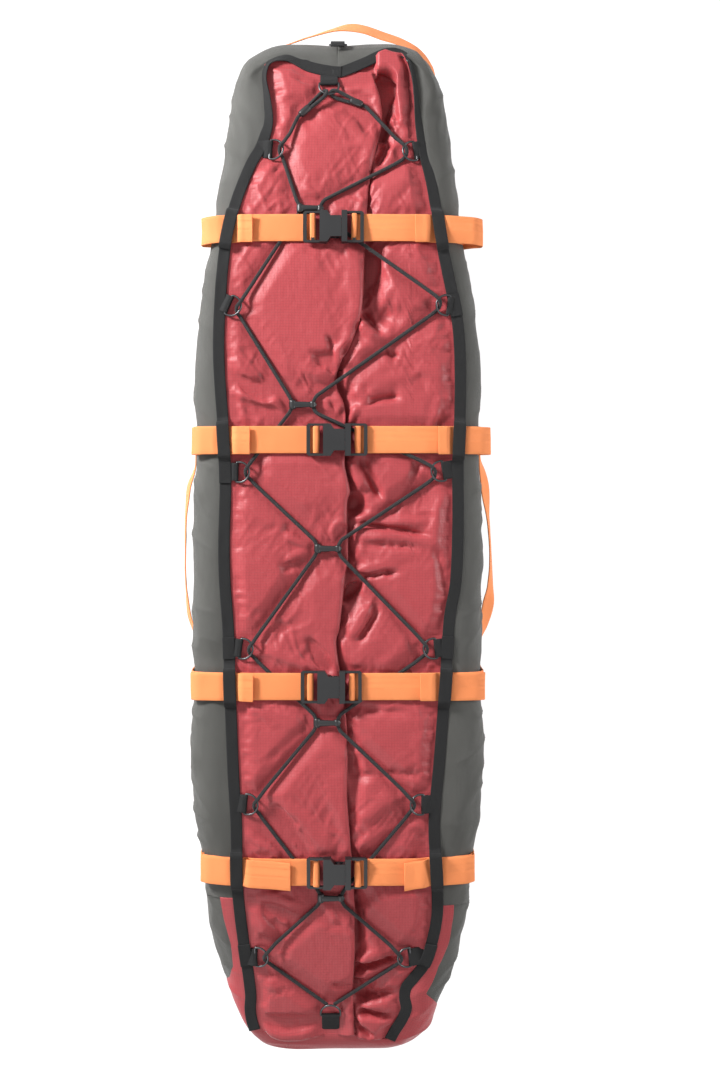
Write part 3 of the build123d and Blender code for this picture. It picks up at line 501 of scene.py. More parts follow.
def relief(side, x, y):
    """How a flap stands off its even shape: swells, and folds that fade out at both ends."""
    total = np.zeros(np.shape(x))
    for mx, my, rx, ry, height in SWELLS[side]:
        total = total + height * np.exp(-(((x - mx) / rx) ** 2) - ((y - my) / ry) ** 2)
    for x0, y0, x1, y1, width, height in FOLDS[side]:
        t, across = segment_distance(x, y, (x0, y0), (x1, y1))[1:]
        fade = smooth((t + 0.2) / 0.4) * smooth((1.2 - t) / 0.4)
        total = total + height * fade * np.exp(-((across / width) ** 2))
    return total


def wrinkles(x, y):
    """Fine creases: noise folded at zero, stretched along slanted directions."""
    warp = 9 * lattice_noise(x / 55, y / 55, 3)
    a = lattice_noise((x + 0.6 * y + warp) / 15, (y - 0.5 * x) / 48, 11)
    b = lattice_noise((x - 0.7 * y + warp) / 13, (y + 0.6 * x) / 44, 12)
    c = lattice_noise(x / 38 + warp / 30, y / 32, 13)
    sharp = (1 - np.abs(a)) ** 4 + (1 - np.abs(b)) ** 4
    return 2.3 * sharp + 2.6 * c - 1.3


def seam_edge(side, x, y):
    """How the flaps meet: the left one ends in a soft roll, the right one dips under it."""
    seam = line_x(flap_edge_line, y)
    if side == 1:
        past = np.maximum(x - seam, 0)
        return 3.2 * np.exp(-(((past - 9) / 7) ** 2)) - 0.5 * np.exp(-((past / 4) ** 2))
    past = seam - x
    hollow = np.interp(y, [h[0] for h in HOLLOW], [h[1] for h in HOLLOW])
    return -hollow * np.exp(-(np.maximum(past + 4, 0) / 17) ** 2)


def flap_target(side, x, y, inset, ceiling, dome):
    """Height of a flap before it is solved: domed between what presses it down, with its own
    swells, folds and creases."""
    lift = 0.82 * dome.at(x, y) - 1.0 + 1.75 * relief(side, x, y) + wrinkles(x, y)
    lift = lift + seam_edge(side, x, y)
    top = ceiling.at(x, y)
    lift = np.where(lift > top - 2, soft_min(lift, top, 5), lift)
    if side == -1:
        ear = np.array(EAR, float)[::-1]
        deep = y - np.interp(x, ear[:, 0], ear[:, 1])
        drawn = np.interp(x, ear[:, 0], ear[:, 2]) - 3 + FLAP_TOP
        over = (1 - smooth((deep - 15) / 20)) * smooth((-6 - x) / 20) * smooth((x + 110) / 14)
        lift = lift * (1 - over) + drawn * over
    gathers = lattice_noise(y / 6.5, 0 * y + side * 5, 21) * np.exp(-(((inset - 17) / 9) ** 2))
    rise = smooth((inset - SEWN) / 24)
    return (FLAP_TOP - 0.4) * (1 - rise) + lift * rise + 1.3 * gathers * smooth((inset - SEWN) / 5)


def spread(heights, reach):
    """Heights averaged over a square of that many points each way, twice."""
    for turn in (0, 1) * 2:
        ends = [(0, 0), (0, 0)]
        ends[turn] = (reach + 1, reach)
        run = np.cumsum(np.pad(heights, ends, mode="edge"), axis=turn)
        width = 2 * reach + 1
        later = run[width:] if turn == 0 else run[:, width:]
        sooner = run[:-width] if turn == 0 else run[:, :-width]
        heights = (later - sooner) / width
    return heights


class HeightMap:
    """Heights over the plan of the cover, looked up between points a small step apart."""

    STEP, LOW_X, LOW_Y, COLUMNS, ROWS = 2.0, -200.0, -730.0, 201, 745

    def __init__(self, heights=None):
        self.x = self.LOW_X + self.STEP * np.arange(self.COLUMNS)
        self.y = self.LOW_Y + self.STEP * np.arange(self.ROWS)
        self.heights = heights

    def grid(self):
        """x and y of every point."""
        return np.meshgrid(self.x, self.y)

    def at(self, x, y):
        """Height at any place: the four points about it, blended by how near it is to each."""
        u = np.clip((x - self.LOW_X) / self.STEP, 0, self.COLUMNS - 1.001)
        v = np.clip((y - self.LOW_Y) / self.STEP, 0, self.ROWS - 1.001)
        i, j = u.astype(int), v.astype(int)
        u, v, h = u - i, v - j, self.heights
        low = h[j, i] * (1 - u) + h[j, i + 1] * u
        return low * (1 - v) + (h[j + 1, i] * (1 - u) + h[j + 1, i + 1] * u) * v


def draw_together(p, first, second, length, pull, press):
    """Moves each pair of points half the error towards its length, by a share for pairs that are
    too long and another for pairs that are too short."""
    a, b = p[first], p[second]
    d = b - a
    size = np.sqrt(np.einsum("ijk,ijk->ij", d, d)) + 1e-9
    error = (size - length) / size
    step = d * (0.5 * error * np.where(error > 0, pull, press))[..., None]
    p[first] += step
    p[second] -= step


def pairs(rows, columns, down, across):
    """Index pairs of a grid's points that lie (down, across) apart, in sets that share no point."""
    sets = []
    if down:
        low, high = max(0, -across), columns - max(0, across)
        for k in range(2 * down):
            count = len(range(k, rows - down, 2 * down))
            if count:
                stop = k + (count - 1) * 2 * down + 1
                sets.append((
                    (slice(k, stop, 2 * down), slice(low, high)),
                    (slice(k + down, stop + down, 2 * down), slice(low + across, high + across)),
                ))
    else:
        for k in range(2 * across):
            count = len(range(k, columns - across, 2 * across))
            if count:
                stop = k + (count - 1) * 2 * across + 1
                sets.append((
                    (slice(None), slice(k, stop, 2 * across)),
                    (slice(None), slice(k + across, stop + across, 2 * across)),
                ))
    return sets


FILL, FILL_MOST = 0.07, 0.4     # share of the way to its shape that cloth moves in a round
LAST_ROUNDS = 12                # rounds at the end that all keep to the floor and the ceiling


def solve_cloth(target, start, extra, held, ceiling, floor, rounds, bend):
    """Cloth that is cut a little larger than the shape it is packed to. Each round moves the free
    points towards that shape, draws neighbours to their cut distances, and keeps the cloth
    between the floor and the ceiling."""
    rows, columns = target.shape[:2]
    tz = crown_tilt(target[..., 1])[1]
    aim = (target[..., 2] - crown(target[..., 1])) / tz
    families = []
    for down, across, pull, press in (
        (0, 1, 1.0, 0.8), (1, 0, 1.0, 0.8), (1, 1, 0.5, 0.25), (1, -1, 0.5, 0.25),
        (0, 2, 0.0, bend), (2, 0, 0.0, bend),
    ):
        for first, second in pairs(rows, columns, down, across):
            d = target[second] - target[first]
            length = np.sqrt(np.einsum("ijk,ijk->ij", d, d)) * (extra[first] + extra[second]) / 2
            families.append((first, second, length, pull, press))
    p = start.copy()
    fixed = start[held]
    for count in range(rounds):
        ny, nz = crown_tilt(p[..., 1])
        lift = (p[..., 2] - crown(p[..., 1])) * nz
        push = np.clip(FILL * (aim - lift), -FILL_MOST, FILL_MOST)
        p[..., 1] += ny * push
        p[..., 2] += nz * push
        for family in families:
            draw_together(p, *family)
        p[held] = fixed
        if count % 2 == 0 or count > rounds - LAST_ROUNDS:
            lift = (p[..., 2] - crown(p[..., 1])) * nz
            high = lift - ceiling.at(p[..., 0], p[..., 1])
            low = floor.at(p[..., 0], p[..., 1]) - lift
            move = np.where(high > 0, -high, 0) + np.where(low > 0, low, 0)
            p[..., 1] += ny * move
            p[..., 2] += nz * move
    return p


def finer(moved, rows, columns):
    """A grid of displacements at another resolution."""
    r = np.linspace(0, moved.shape[0] - 1, rows)
    c = np.linspace(0, moved.shape[1] - 1, columns)
    i = np.minimum(r.astype(int), moved.shape[0] - 2)
    j = np.minimum(c.astype(int), moved.shape[1] - 2)
    u, v = (r - i)[:, None, None], (c - j)[None, :, None]
    a, b = moved[i][:, j], moved[i][:, j + 1]
    d, e = moved[i + 1][:, j], moved[i + 1][:, j + 1]
    return (a * (1 - v) + b * v) * (1 - u) + (d * (1 - v) + e * v) * u


# ---------------------------------------------------------------- meshes


def make_piece(name, places, uv, material, slot, ring=False, loop=False, caps=False,
               replaces=(), wall=0.0):
    """Mesh over a grid of points: rows run along the first index. ring closes the second index,
    loop closes the first, caps closes the two ends of a ring with a fan. The points are in
    millimetres, and wall gives the sheet its thickness."""
    rows, columns = places.shape[:2]
    index = np.arange(rows * columns).reshape(rows, columns)
    if ring:
        index = np.hstack([index, index[:, :1]])
    if loop:
        index = np.vstack([index, index[:1]])
    quads = np.stack([index[:-1, :-1], index[1:, :-1], index[1:, 1:], index[:-1, 1:]], axis=-1)
    quads = quads.reshape(-1, 4)
    faces = quads.tolist()
    points = places.reshape(-1, 3)
    if caps:
        centres = np.stack([places[0].mean(axis=0), places[-1].mean(axis=0)])
        first, last = rows * columns, rows * columns + 1
        points = np.vstack([points, centres])
        start = np.stack([index[0, :-1], index[0, 1:], np.full(index.shape[1] - 1, first)], axis=1)
        end = np.stack([index[-1, 1:], index[-1, :-1], np.full(index.shape[1] - 1, last)], axis=1)
        faces += start.tolist() + end.tolist()
    mesh = bpy.data.meshes.new(name)
    mesh.from_pydata((points * MM).tolist(), [], faces)
    flat = uv.reshape(-1, 2)
    if caps:
        flat = np.vstack([flat, flat[0], flat[-1]])
    corner = np.empty(len(mesh.loops), np.int32)
    mesh.loops.foreach_get("vertex_index", corner)
    layer = mesh.uv_layers.new(name="UVMap")
    layer.data.foreach_set("uv", (flat[corner] * MM).astype(np.float32).ravel())
    mesh.polygons.foreach_set("use_smooth", [True] * len(mesh.polygons))
    piece = bpy.data.objects.new(name, mesh)
    bpy.context.scene.collection.objects.link(piece)
    if wall:
        solid = piece.modifiers.new("thickness", "SOLIDIFY")
        solid.thickness = wall * MM
        solid.offset = -1
    mesh.materials.append(material)
    if replaces:
        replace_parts(piece, *replaces)
    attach(piece, "sled")
    return piece


def along_frame(path, up, closed=False):
    """Directions across a path and square to it, with up as a guide."""
    if closed:
        ahead = unit(np.roll(path, -1, axis=0) - np.roll(path, 1, axis=0))
    else:
        ahead = heading(path)
    across = unit(np.cross(ahead, up))
    return across, np.cross(across, ahead)


def section_points(width, thick, count=5):
    """Closed outline of a strap's section: flat faces and rounded edges."""
    half, r = width / 2 - thick / 2, thick / 2
    turn = np.linspace(-np.pi / 2, np.pi / 2, count)
    right = np.stack([half + r * np.cos(turn), r * np.sin(turn)], axis=1)
    left = np.stack([-half - r * np.cos(turn), -r * np.sin(turn)], axis=1)
    lanes = np.linspace(half, -half, 9)[1:-1]
    top = np.stack([lanes, np.full(7, r)], axis=1)
    low = np.stack([-lanes, np.full(7, -r)], axis=1)
    return np.vstack([right, top, left, low])


def strip(name, path, across, top, section, wave, finish, lean=0.0, turned=False, replaces=()):
    """Strap: its section carried along the path, lifted by a wave and shifted sideways by
    lean. finish is its material, paired with a slot name."""
    places = (path[:, None] + across[:, None] * (section[None, :, :1] + lean)
              + top[:, None] * (section[None, :, 1] + wave)[..., None])
    if turned:
        places = places[:, ::-1]
    uv = np.stack(np.broadcast_arrays(measure(path)[:, None], section[None, :, 0]), axis=-1)
    return make_piece(name, places, uv, *finish, ring=True, caps=True, replaces=replaces)


def ribbon(name, path, up, width, thick, finish, replaces=(), ripple=0.0, seed=1):
    """Strap whose flat face is square to up. ripple lifts its edges unevenly, as a handled strap
    lies."""
    across, top = along_frame(path, up)
    section = section_points(width, thick)
    run = measure(path)
    wave = ripple * lattice_noise(run[:, None] / 24, section[None, :, 0] / width * 1.6, seed)
    return strip(name, path, across, top, section, wave, finish, replaces=replaces)


def tube(name, path, radius, sides, finish, replaces=(), closed=False, flat=1.0):
    """Round section carried along a path, its height times flat."""
    across, top = along_frame(path, np.array([0.02, 0.03, 1.0]), closed)
    turn = np.linspace(0, 2 * np.pi, sides, endpoint=False)
    radius = np.broadcast_to(np.asarray(radius, float), (len(path),))[:, None, None]
    places = (path[:, None] + radius * (across[:, None] * np.cos(turn)[None, :, None]
                                        + flat * top[:, None] * np.sin(turn)[None, :, None]))
    uv = np.stack(np.broadcast_arrays(measure(path)[:, None], turn[None, :] * 2.5), axis=-1)
    return make_piece(name, places, uv, *finish, ring=True, loop=closed, caps=not closed,
                      replaces=replaces)


def joined(name, pieces):
    """Several meshes made into one piece."""
    first = pieces[0]
    with bpy.context.temp_override(active_object=first, selected_editable_objects=pieces):
        bpy.ops.object.join()
    first.name = name
    return first


# ---------------------------------------------------------------- materials


class Finish:
    """A node material on one Principled shader, with short ways to add and link nodes."""

    def __init__(self, name, colour, roughness, **values):
        self.material = bpy.data.materials.new(name)
        self.material.use_nodes = True
        self.nodes = self.material.node_tree.nodes
        self.links = self.material.node_tree.links
        self.shader = self.nodes["Principled BSDF"]
        self.shader.inputs["Base Color"].default_value = (*colour, 1)
        self.shader.inputs["Roughness"].default_value = roughness
        for socket, value in values.items():
            self.shader.inputs[socket.replace("_", " ")].default_value = value

    def add(self, kind, inputs=(), **settings):
        """A new node with its settings, each input set to a value or linked to an output."""
        node = self.nodes.new(kind)
        for key, value in settings.items():
            setattr(node, key, value)
        for key, value in dict(inputs).items():
            self.fill(node.inputs[key], value)
        return node

    def fill(self, socket, value):
        """Sets a socket to a value or a colour, or links an output to it."""
        if isinstance(value, bpy.types.NodeSocket):
            self.links.new(value, socket)
        elif socket.type == "RGBA":
            socket.default_value = (*value, 1)
        else:
            socket.default_value = value

    def place(self, kind, scale=(1, 1, 1), turn=0.0):
        """Coordinates in metres, scaled, and turned about their third axis."""
        source = self.add("ShaderNodeTexCoord")
        inputs = {"Vector": source.outputs[kind], "Scale": scale, "Rotation": (0, 0, turn)}
        return self.add("ShaderNodeMapping", inputs).outputs[0]

    def math(self, operation, a, b=0.5):
        """One sum of two numbers or outputs."""
        return self.add("ShaderNodeMath", {0: a, 1: b}, operation=operation).outputs[0]

    def noise(self, where, detail, roughness=0.5):
        """Cloudy noise, with its scale set by the coordinates."""
        inputs = {"Vector": where, "Scale": 1.0, "Detail": detail, "Roughness": roughness}
        return self.add("ShaderNodeTexNoise", inputs).outputs["Fac"]

    def wave(self, where, scale, direction="X"):
        """Straight even bands across one direction."""
        inputs = {"Vector": where, "Scale": scale, "Distortion": 0.0}
        node = self.add("ShaderNodeTexWave", inputs, wave_type="BANDS", bands_direction=direction)
        return node.outputs["Fac"]

    def mix(self, factor, a, b):
        """A colour between two colours."""
        node = self.add("ShaderNodeMix", data_type="RGBA")
        sockets = [s for s in node.inputs if s.enabled]
        for socket, value in zip(sockets, (factor, a, b)):
            self.fill(socket, value)
        return [s for s in node.outputs if s.enabled][0]

    def colour(self, value):
        """Feeds the shader's base colour."""
        self.fill(self.shader.inputs["Base Color"], value)

    def rough(self, value, low, high):
        """Feeds the shader's roughness, between a low and a high one."""
        node = self.add("ShaderNodeMapRange", {"Value": value, "To Min": low, "To Max": high})
        self.fill(self.shader.inputs["Roughness"], node.outputs[0])

    def bump(self, value, depth, strength, after=None):
        """Raises the surface by a height of at most depth, on top of an earlier bump."""
        inputs = {"Height": value, "Strength": strength, "Distance": depth}
        if after is not None:
            inputs["Normal"] = after
        node = self.add("ShaderNodeBump", inputs)
        self.fill(self.shader.inputs["Normal"], node.outputs[0])
        return node.outputs[0]


def even(scale):
    """The same scale along all three axes."""
    return (scale, scale, scale)


def shade(colour, share, lift=0.0):
    """A colour darkened or lightened by a share, and lifted a little."""
    return tuple(min(c * share + lift, 1) for c in colour)


def ripstop(name, colour):
    """Thin coated nylon: fine weave, a raised thread every few millimetres both ways, and soft
    crumples."""
    f = Finish(name, colour, 0.5, Sheen_Weight=0.2, Sheen_Roughness=0.4, Specular_IOR_Level=0.4)
    parts = f.add("ShaderNodeSeparateXYZ", {0: f.place("UV")})
    lines = []
    for axis in ("X", "Y"):
        cell = f.math("FRACT", f.math("MULTIPLY", parts.outputs[axis], 1000 / RIPSTOP_GRID))
        thread = f.math("PINGPONG", f.math("MULTIPLY", cell, 2.0), 1.0)
        lines.append(f.math("GREATER_THAN", thread, 0.84))
    threads = f.math("MAXIMUM", *lines)
    fine = f.noise(f.place("UV", even(1800)), 2.0)
    tone = f.noise(f.place("Object", even(6)), 3.0)
    base = f.mix(tone, shade(colour, 0.86), shade(colour, 1.12, 0.004))
    f.colour(f.mix(f.math("MULTIPLY", threads, 0.55), base, shade(colour, 0.72)))
    crumple = f.noise(f.place("Object", even(52)), 6.0, 0.6)
    ridges = []
    for scale, turn in (((52, 20, 52), 0.7), ((48, 18, 48), -0.8)):
        slanted = f.noise(f.place("UV", scale, turn), 2.0, 0.45)
        ridges.append(f.math("PINGPONG", f.math("MULTIPLY", slanted, 2.0), 1.0))
    first = f.bump(f.math("ADD", *ridges), 0.0012, 0.4, f.bump(crumple, 0.0026, 0.5))
    weave = f.math("ADD", f.math("MULTIPLY", threads, 0.7), f.math("MULTIPLY", fine, 0.5))
    f.bump(weave, 0.00022, 0.6, first)
    f.rough(fine, 0.43, 0.57)
    return f.material


def coated_fabric(name, colour):
    """Heavy coated cloth: a slanted weave under a dull coat, with rubbed patches."""
    f = Finish(name, colour, 0.55, Sheen_Weight=0.08, Specular_IOR_Level=0.25)
    twill = f.wave(f.place("UV", even(900), 0.8), 1.0)
    cross = f.wave(f.place("UV", even(900)), 1.0, "Y")
    tone = f.noise(f.place("Object", even(9)), 4.0)
    f.colour(f.mix(tone, shade(colour, 0.82), shade(colour, 1.16)))
    crumple = f.noise(f.place("Object", (26, 12, 26)), 4.0)
    f.bump(f.math("ADD", twill, cross), 0.00015, 0.5, f.bump(crumple, 0.005, 0.6))
    f.rough(tone, 0.46, 0.62)
    return f.material


def webbing(name, colour):
    """Woven strap: ribs across it, lanes along it, and uneven fibres."""
    f = Finish(name, colour, 0.6, Sheen_Weight=0.06, Sheen_Roughness=0.5, Specular_IOR_Level=0.16)
    weave = f.math("MULTIPLY", f.wave(f.place("UV"), 650.0), f.wave(f.place("UV"), 420.0, "Y"))
    tone = f.noise(f.place("Object", even(14)), 3.0)
    fibre = f.noise(f.place("UV", (300, 2200, 1)), 2.0)
    base = f.mix(tone, shade(colour, 0.92), shade(colour, 1.08, 0.002))
    f.colour(f.mix(f.math("MULTIPLY", fibre, 0.25), base, shade(colour, 0.78)))
    f.bump(weave, 0.00025, 0.7)
    f.rough(fibre, 0.52, 0.72)
    return f.material


def moulded(name, colour, roughness=0.38):
    """Moulded plastic with a fine spark-eroded grain."""
    f = Finish(name, colour, roughness, Specular_IOR_Level=0.5)
    tone = f.noise(f.place("Object", even(25)), 3.0)
    f.colour(f.mix(tone, shade(colour, 0.8), shade(colour, 1.25)))
    f.bump(f.noise(f.place("Object", even(900)), 2.0), 0.0001, 0.35)
    f.rough(tone, roughness - 0.07, roughness + 0.1)
    return f.material


def metal(name, colour, roughness):
    """Metal with faint scuffs."""
    f = Finish(name, colour, roughness, Metallic=1.0)
    scuffs = f.noise(f.place("Object", (120, 120, 600)), 4.0)
    f.bump(scuffs, 0.00008, 0.3)
    f.rough(scuffs, roughness - 0.08, roughness + 0.12)
    return f.material


def braid(name, colour):
    """Braided cord sheath: crossing strands that wind round it, with painted shade between the
    strands and a painted highlight on them.
    """
    f = Finish(name, colour, 0.55, Sheen_Weight=0.1, Specular_IOR_Level=0.25)
    strands = f.math("MAXIMUM", *(f.wave(f.place("UV", turn=turn), 420.0) for turn in (0.7, -0.7)))
    # painted shade in the grooves between strands and painted highlight on their crests, put into
    # the colour
    f.colour(f.mix(strands, shade(colour, 0.45), shade(colour, 1.5)))
    f.bump(strands, 0.0004, 0.8)
    return f.material


def gelcoat(name, colour):
    """Glossy moulded glassfibre skin with light scratches along its length."""
    f = Finish(name, colour, 0.4, Coat_Weight=0.12, Coat_Roughness=0.3, Specular_IOR_Level=0.4)
    scratches = f.noise(f.place("Object", (160, 7, 160)), 5.0, 0.6)
    tone = f.noise(f.place("Object", even(5)), 3.0)
    f.colour(f.mix(tone, shade(colour, 0.9), shade(colour, 1.06)))
    f.bump(scratches, 0.0001, 0.25)
    f.rough(scratches, 0.34, 0.5)
    return f.material


RIPSTOP_GRID = 3.9          # millimetres between the raised threads
RED = (0.395, 0.046, 0.054)
GREY = (0.074, 0.073, 0.067)
ORANGE = (1.0, 0.305, 0.108)
BLACK_WEB = (0.014, 0.014, 0.0145)

RED_FABRIC = ripstop("red_ripstop", RED)
GREY_FABRIC = coated_fabric("grey_coated", GREY)
ORANGE_WEBBING = webbing("orange_strap", ORANGE)
BLACK_WEBBING = webbing("black_strap", BLACK_WEB)
BLACK_PLASTIC = moulded("black_moulding", (0.011, 0.011, 0.012))
RIM_PLASTIC = moulded("rim_moulding", (0.03, 0.03, 0.033), 0.45)
RUNNER_PLASTIC = moulded("runner_moulding", (0.035, 0.035, 0.04), 0.5)
GUNMETAL = metal("dark_wire", (0.075, 0.075, 0.078), 0.34)
STAINLESS = metal("bright_steel", (0.42, 0.42, 0.43), 0.36)
BLACK_CORD = braid("cord_sheath", (0.012, 0.012, 0.013))
HULL_FINISH = gelcoat("hull_skin", (0.25, 0.024, 0.028))

# material of the pieces made here, each paired with a slot name
RED_CLOTH = (RED_FABRIC, "red_fabric")
GREY_CLOTH = (GREY_FABRIC, "grey_fabric")
ORANGE_STRAP = (ORANGE_WEBBING, "orange_webbing")
BLACK_STRAP = (BLACK_WEBBING, "black_webbing")
PLASTIC = (BLACK_PLASTIC, "black_plastic")
DARK_WIRE = (GUNMETAL, "gunmetal")

# finish of the pieces that keep the shape they came with, by the start of their names
FINISH_OF = {
    "hull_shell": HULL_FINISH, "rim_strip": RIM_PLASTIC, "runner_": RUNNER_PLASTIC,
    "tow_": STAINLESS, "stern_eye": STAINLESS, "buckle_": BLACK_PLASTIC,
    "nose_ladder_lock": BLACK_PLASTIC, "zip_puller": ORANGE_WEBBING,
}
for node_name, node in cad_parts.items():
    for start, finish in FINISH_OF.items():
        if node_name.startswith(start):
            for material_slot in node.material_slots:
                material_slot.material = finish

# ---------------------------------------------------------------- red flaps


FLAP_START = -672.0                 # station at which both flaps begin beside the nose
FLAP_END = {1: 708.0, -1: 722.0}    # station at which each flap ends
TAIL_MIDDLE = 713.0                 # and where both end in the middle of the tail
SEAM_UNDER = 26.0                   # how far the right flap runs on under the left one
FLAP_THICK, WALL_THICK = 0.9, 1.2

# how much larger the cloth is cut than its shape: everywhere, where it is loose, at both ends
SPARE, SPARE_LOOSE, SPARE_ENDS = 0.006, 0.022, 0.012

# grids of a flap that grow finer: rows, columns, rounds, stiffness
GRIDS = ((118, 16, 60, 0.3), (236, 32, 90, 0.25), (472, 64, 110, 0.16))


def nose_front(side, x):
    """Station at which a flap begins at x, and its height there: at the nose webbing, and on the
    right drawn over it into an ear."""
    line = webbing_line[side]
    front = line[: int(np.argmax(np.abs(line[:, 0]) > CORNER_X)) + 1]
    order = np.argsort(side * front[:, 0])
    y = np.interp(side * x, side * front[order, 0], front[order, 1])
    lift = np.full(np.shape(x), FLAP_TOP - 0.4)
    if side == -1:
        ear = np.array(EAR, float)[::-1]
        on_ear = x < ear[-1, 0]
        y = np.where(on_ear, np.interp(x, ear[:, 0], ear[:, 1]), y)
        lift = np.where(on_ear, np.interp(x, ear[:, 0], ear[:, 2]), lift)
    return y, lift


def flap_plan(side, rows, columns):
    """Plan grid of one flap from its free edge to its webbing, and the height of its front."""
    line = webbing_line[side]
    nose_end = int(np.argmax(np.abs(line[:, 0]) > CORNER_X))
    y = np.linspace(FLAP_START, FLAP_END[side], rows)
    outer = line_x(line[nose_end:], y)
    inner = line_x(flap_edge_line, y) + (0 if side == 1 else SEAM_UNDER)
    v = np.linspace(0, 1, columns)[None, :]
    x = inner[:, None] * (1 - v) + outer[:, None] * v
    front, lift = nose_front(side, x)
    back = np.interp(side * x, [0, 75, 130], [TAIL_MIDDLE, FLAP_END[side], FLAP_END[side] - 1])
    share = ((y - FLAP_START) / (FLAP_END[side] - FLAP_START))[:, None]
    return x, front + share * (back - front), lift[0]


def solve_flap(side, ceiling, floor, dome):
    """One flap, solved on three grids that grow finer."""
    moved = None
    for rows, columns, rounds, bend in GRIDS:
        x, y, front_lift = flap_plan(side, rows, columns)
        ear = 30 * np.exp(-(((x + 70) / 30) ** 2)) if side == -1 else 0.0
        inset = np.minimum(np.abs(x - x[:, -1:]), y - y[:1] + ear)
        target = seat(x, y, flap_target(side, x, y, inset, ceiling, dome))
        start = target if moved is None else target + finer(moved, rows, columns)
        start = start.copy()
        start[..., 2] += 0.5 * lattice_noise(x / 6 + y / 23, y / 7, 61 + side)
        held = inset < SEWN
        held[0] = held[:, 0] = held[:, -1] = True
        edge_lift = np.full(x.shape, FLAP_TOP - 0.4)
        edge_lift[0] = front_lift
        if side == 1:
            edge_lift[:, 0] = 5.6 + 1.8 * lattice_noise(y[:, 0] / 33, 0 * y[:, 0], 71)
        else:
            edge_lift[:, 0] = -3.0
        start[held] = seat(x, y, edge_lift)[held]
        slack = 0.5 + 0.5 * lattice_noise(x / 60, y / 70, 51 + side)
        ends = smooth((-560 - y) / 80) + smooth((y - 620) / 80)
        extra = 1 + SPARE + SPARE_LOOSE * slack + SPARE_ENDS * ends
        places = solve_cloth(target, start, extra, held, ceiling, floor, rounds, bend)
        moved = places - target
    return places, x, y


def build_flaps():
    """Right flap first, dipping under the seam, then the left flap on top of it."""
    blank = HeightMap()
    gx, gy = blank.grid()
    ceiling = HeightMap(fabric_ceiling(gx, gy))
    dome = HeightMap(spread(ceiling.heights, 8))
    past = line_x(flap_edge_line, gy) - gx
    under = np.where(past < 2, 1.6, 1.6 + np.maximum(past - 2, 0) * 1.6)
    right_ceiling = HeightMap(np.minimum(ceiling.heights, under))
    floors = {-1: HeightMap(np.full(gx.shape, LOW_SIDE)),
              1: HeightMap(np.where(past < 3, 4.2, 3.2))}
    ceilings = {-1: right_ceiling, 1: ceiling}
    for side, hand in SIDES[::-1]:
        places, x, y = solve_flap(side, ceilings[side], floors[side], dome)
        uv = np.stack([x, y], axis=-1)
        if side == 1:
            places, uv = places[:, ::-1], uv[:, ::-1]
        piece = make_piece(f"flap_{hand}_fabric", places, uv, *RED_CLOTH,
                           replaces=[f"flap_{hand}"], wall=FLAP_THICK)


build_flaps()

# ---------------------------------------------------------------- grey walls


def half_outline(side, count):
    """Plan outline of one half, from the middle of the nose to the middle of the tail."""
    points = [(0, NOSE_Y), *OUTLINE, (0, TAIL_Y)]
    line = rounded(points, OUTLINE_ROUNDS, count)
    line[:, 0] *= side
    return line


WEBBING_END = {1: 0.9165, -1: 0.942}   # where along the outline the webbing ends on each half
OUTLINE_RUN = 1650.0                   # length of half the outline


def wall_surface(side, q, t, proud=0.0):
    """Points of the wall: q runs from the nose's middle (0) to the tail's middle (1), t from the
    webbing (0) over a round shoulder and down to the hem (1). proud lifts it square to itself."""
    outline = half_outline(side, 2400)
    inner = webbing_line[side]
    out_run = measure(outline) / measure(outline)[-1]
    in_run = measure(inner) / measure(inner)[-1]
    end = WEBBING_END[side]
    corner = int(np.argmax(np.abs(inner[:, 0]) > CORNER_X))
    knots_out = [0.0, 0.105, 0.19, 0.50, 0.80, end, 1.0]
    stations = np.interp(knots_out[2:5], out_run, outline[:, 1])
    beside = np.interp(stations, inner[corner:, 1], in_run[corner:])
    knots_in = [0.0, in_run[corner], *beside, 1.0, 1.0]
    p = np.interp(q, knots_out, knots_in)
    cx, cy = np.interp(q, out_run, outline[:, 0]), np.interp(q, out_run, outline[:, 1])
    bx, by = np.interp(p, in_run, inner[:, 0]), np.interp(p, in_run, inner[:, 1])
    past_end = np.clip((q - end) / (1 - end), 0, 1)
    bx = bx * (1 - past_end) * smooth(q / 0.02)
    by = by + (TAIL_MIDDLE - by) * smooth(past_end)
    normal = np.stack([np.gradient(cy, axis=0), -np.gradient(cx, axis=0)], axis=-1)
    normal = unit(normal * side)
    reach = np.hypot(cx - bx, cy - by)
    round_r = np.minimum(SHOULDER_ROUND, 0.92 * reach)
    top_b, top_c = crown(by) + FLAP_TOP, crown(np.clip(cy, NOSE_Y, TAIL_Y)) + 1.0
    flat, arc = reach - round_r, round_r * np.pi / 2
    drop = np.maximum(top_c - round_r - HEM_Z, 1)
    run = t * (flat + arc + drop)
    angle = np.clip((run - flat) / round_r, 0, np.pi / 2)
    out = np.minimum(run, flat) + round_r * np.sin(angle)
    share = out / reach
    down = round_r * (1 - np.cos(angle)) + np.maximum(run - flat - arc, 0)
    z = top_b * (1 - share) + top_c * share - down
    x = bx + (cx - bx) * share
    y = by + (cy - by) * share
    between = strap_away(y)
    puff = smooth((between - 18) / 60) * np.sin(np.pi * np.clip(t, 0, 1)) ** 0.8
    free = smooth((between - 19) / 26) * np.sin(np.pi * np.clip(t, 0, 1)) ** 1.3
    crease = lattice_noise(run / 30 + side * 3, y / 44, 41)
    crease = crease + 0.5 * lattice_noise(run / 14, (y + run) / 18, 42)
    slant = (1 - np.abs(lattice_noise((y + 0.5 * run) / 34, run / 90 + side, 43))) ** 5
    apart = np.minimum(smooth(q / 0.03), smooth((1 - q) / 0.04))
    swell = 3.0 * puff + (2.2 * crease + 2.8 * slant) * apart * free + proud
    outward = np.sin(angle)
    x = x + normal[..., 0] * swell * outward
    y = y + normal[..., 1] * swell * outward
    z = z + swell * np.cos(angle)
    return np.stack([x, y, z], axis=-1), np.stack([q * OUTLINE_RUN + 0 * run, run], axis=-1)


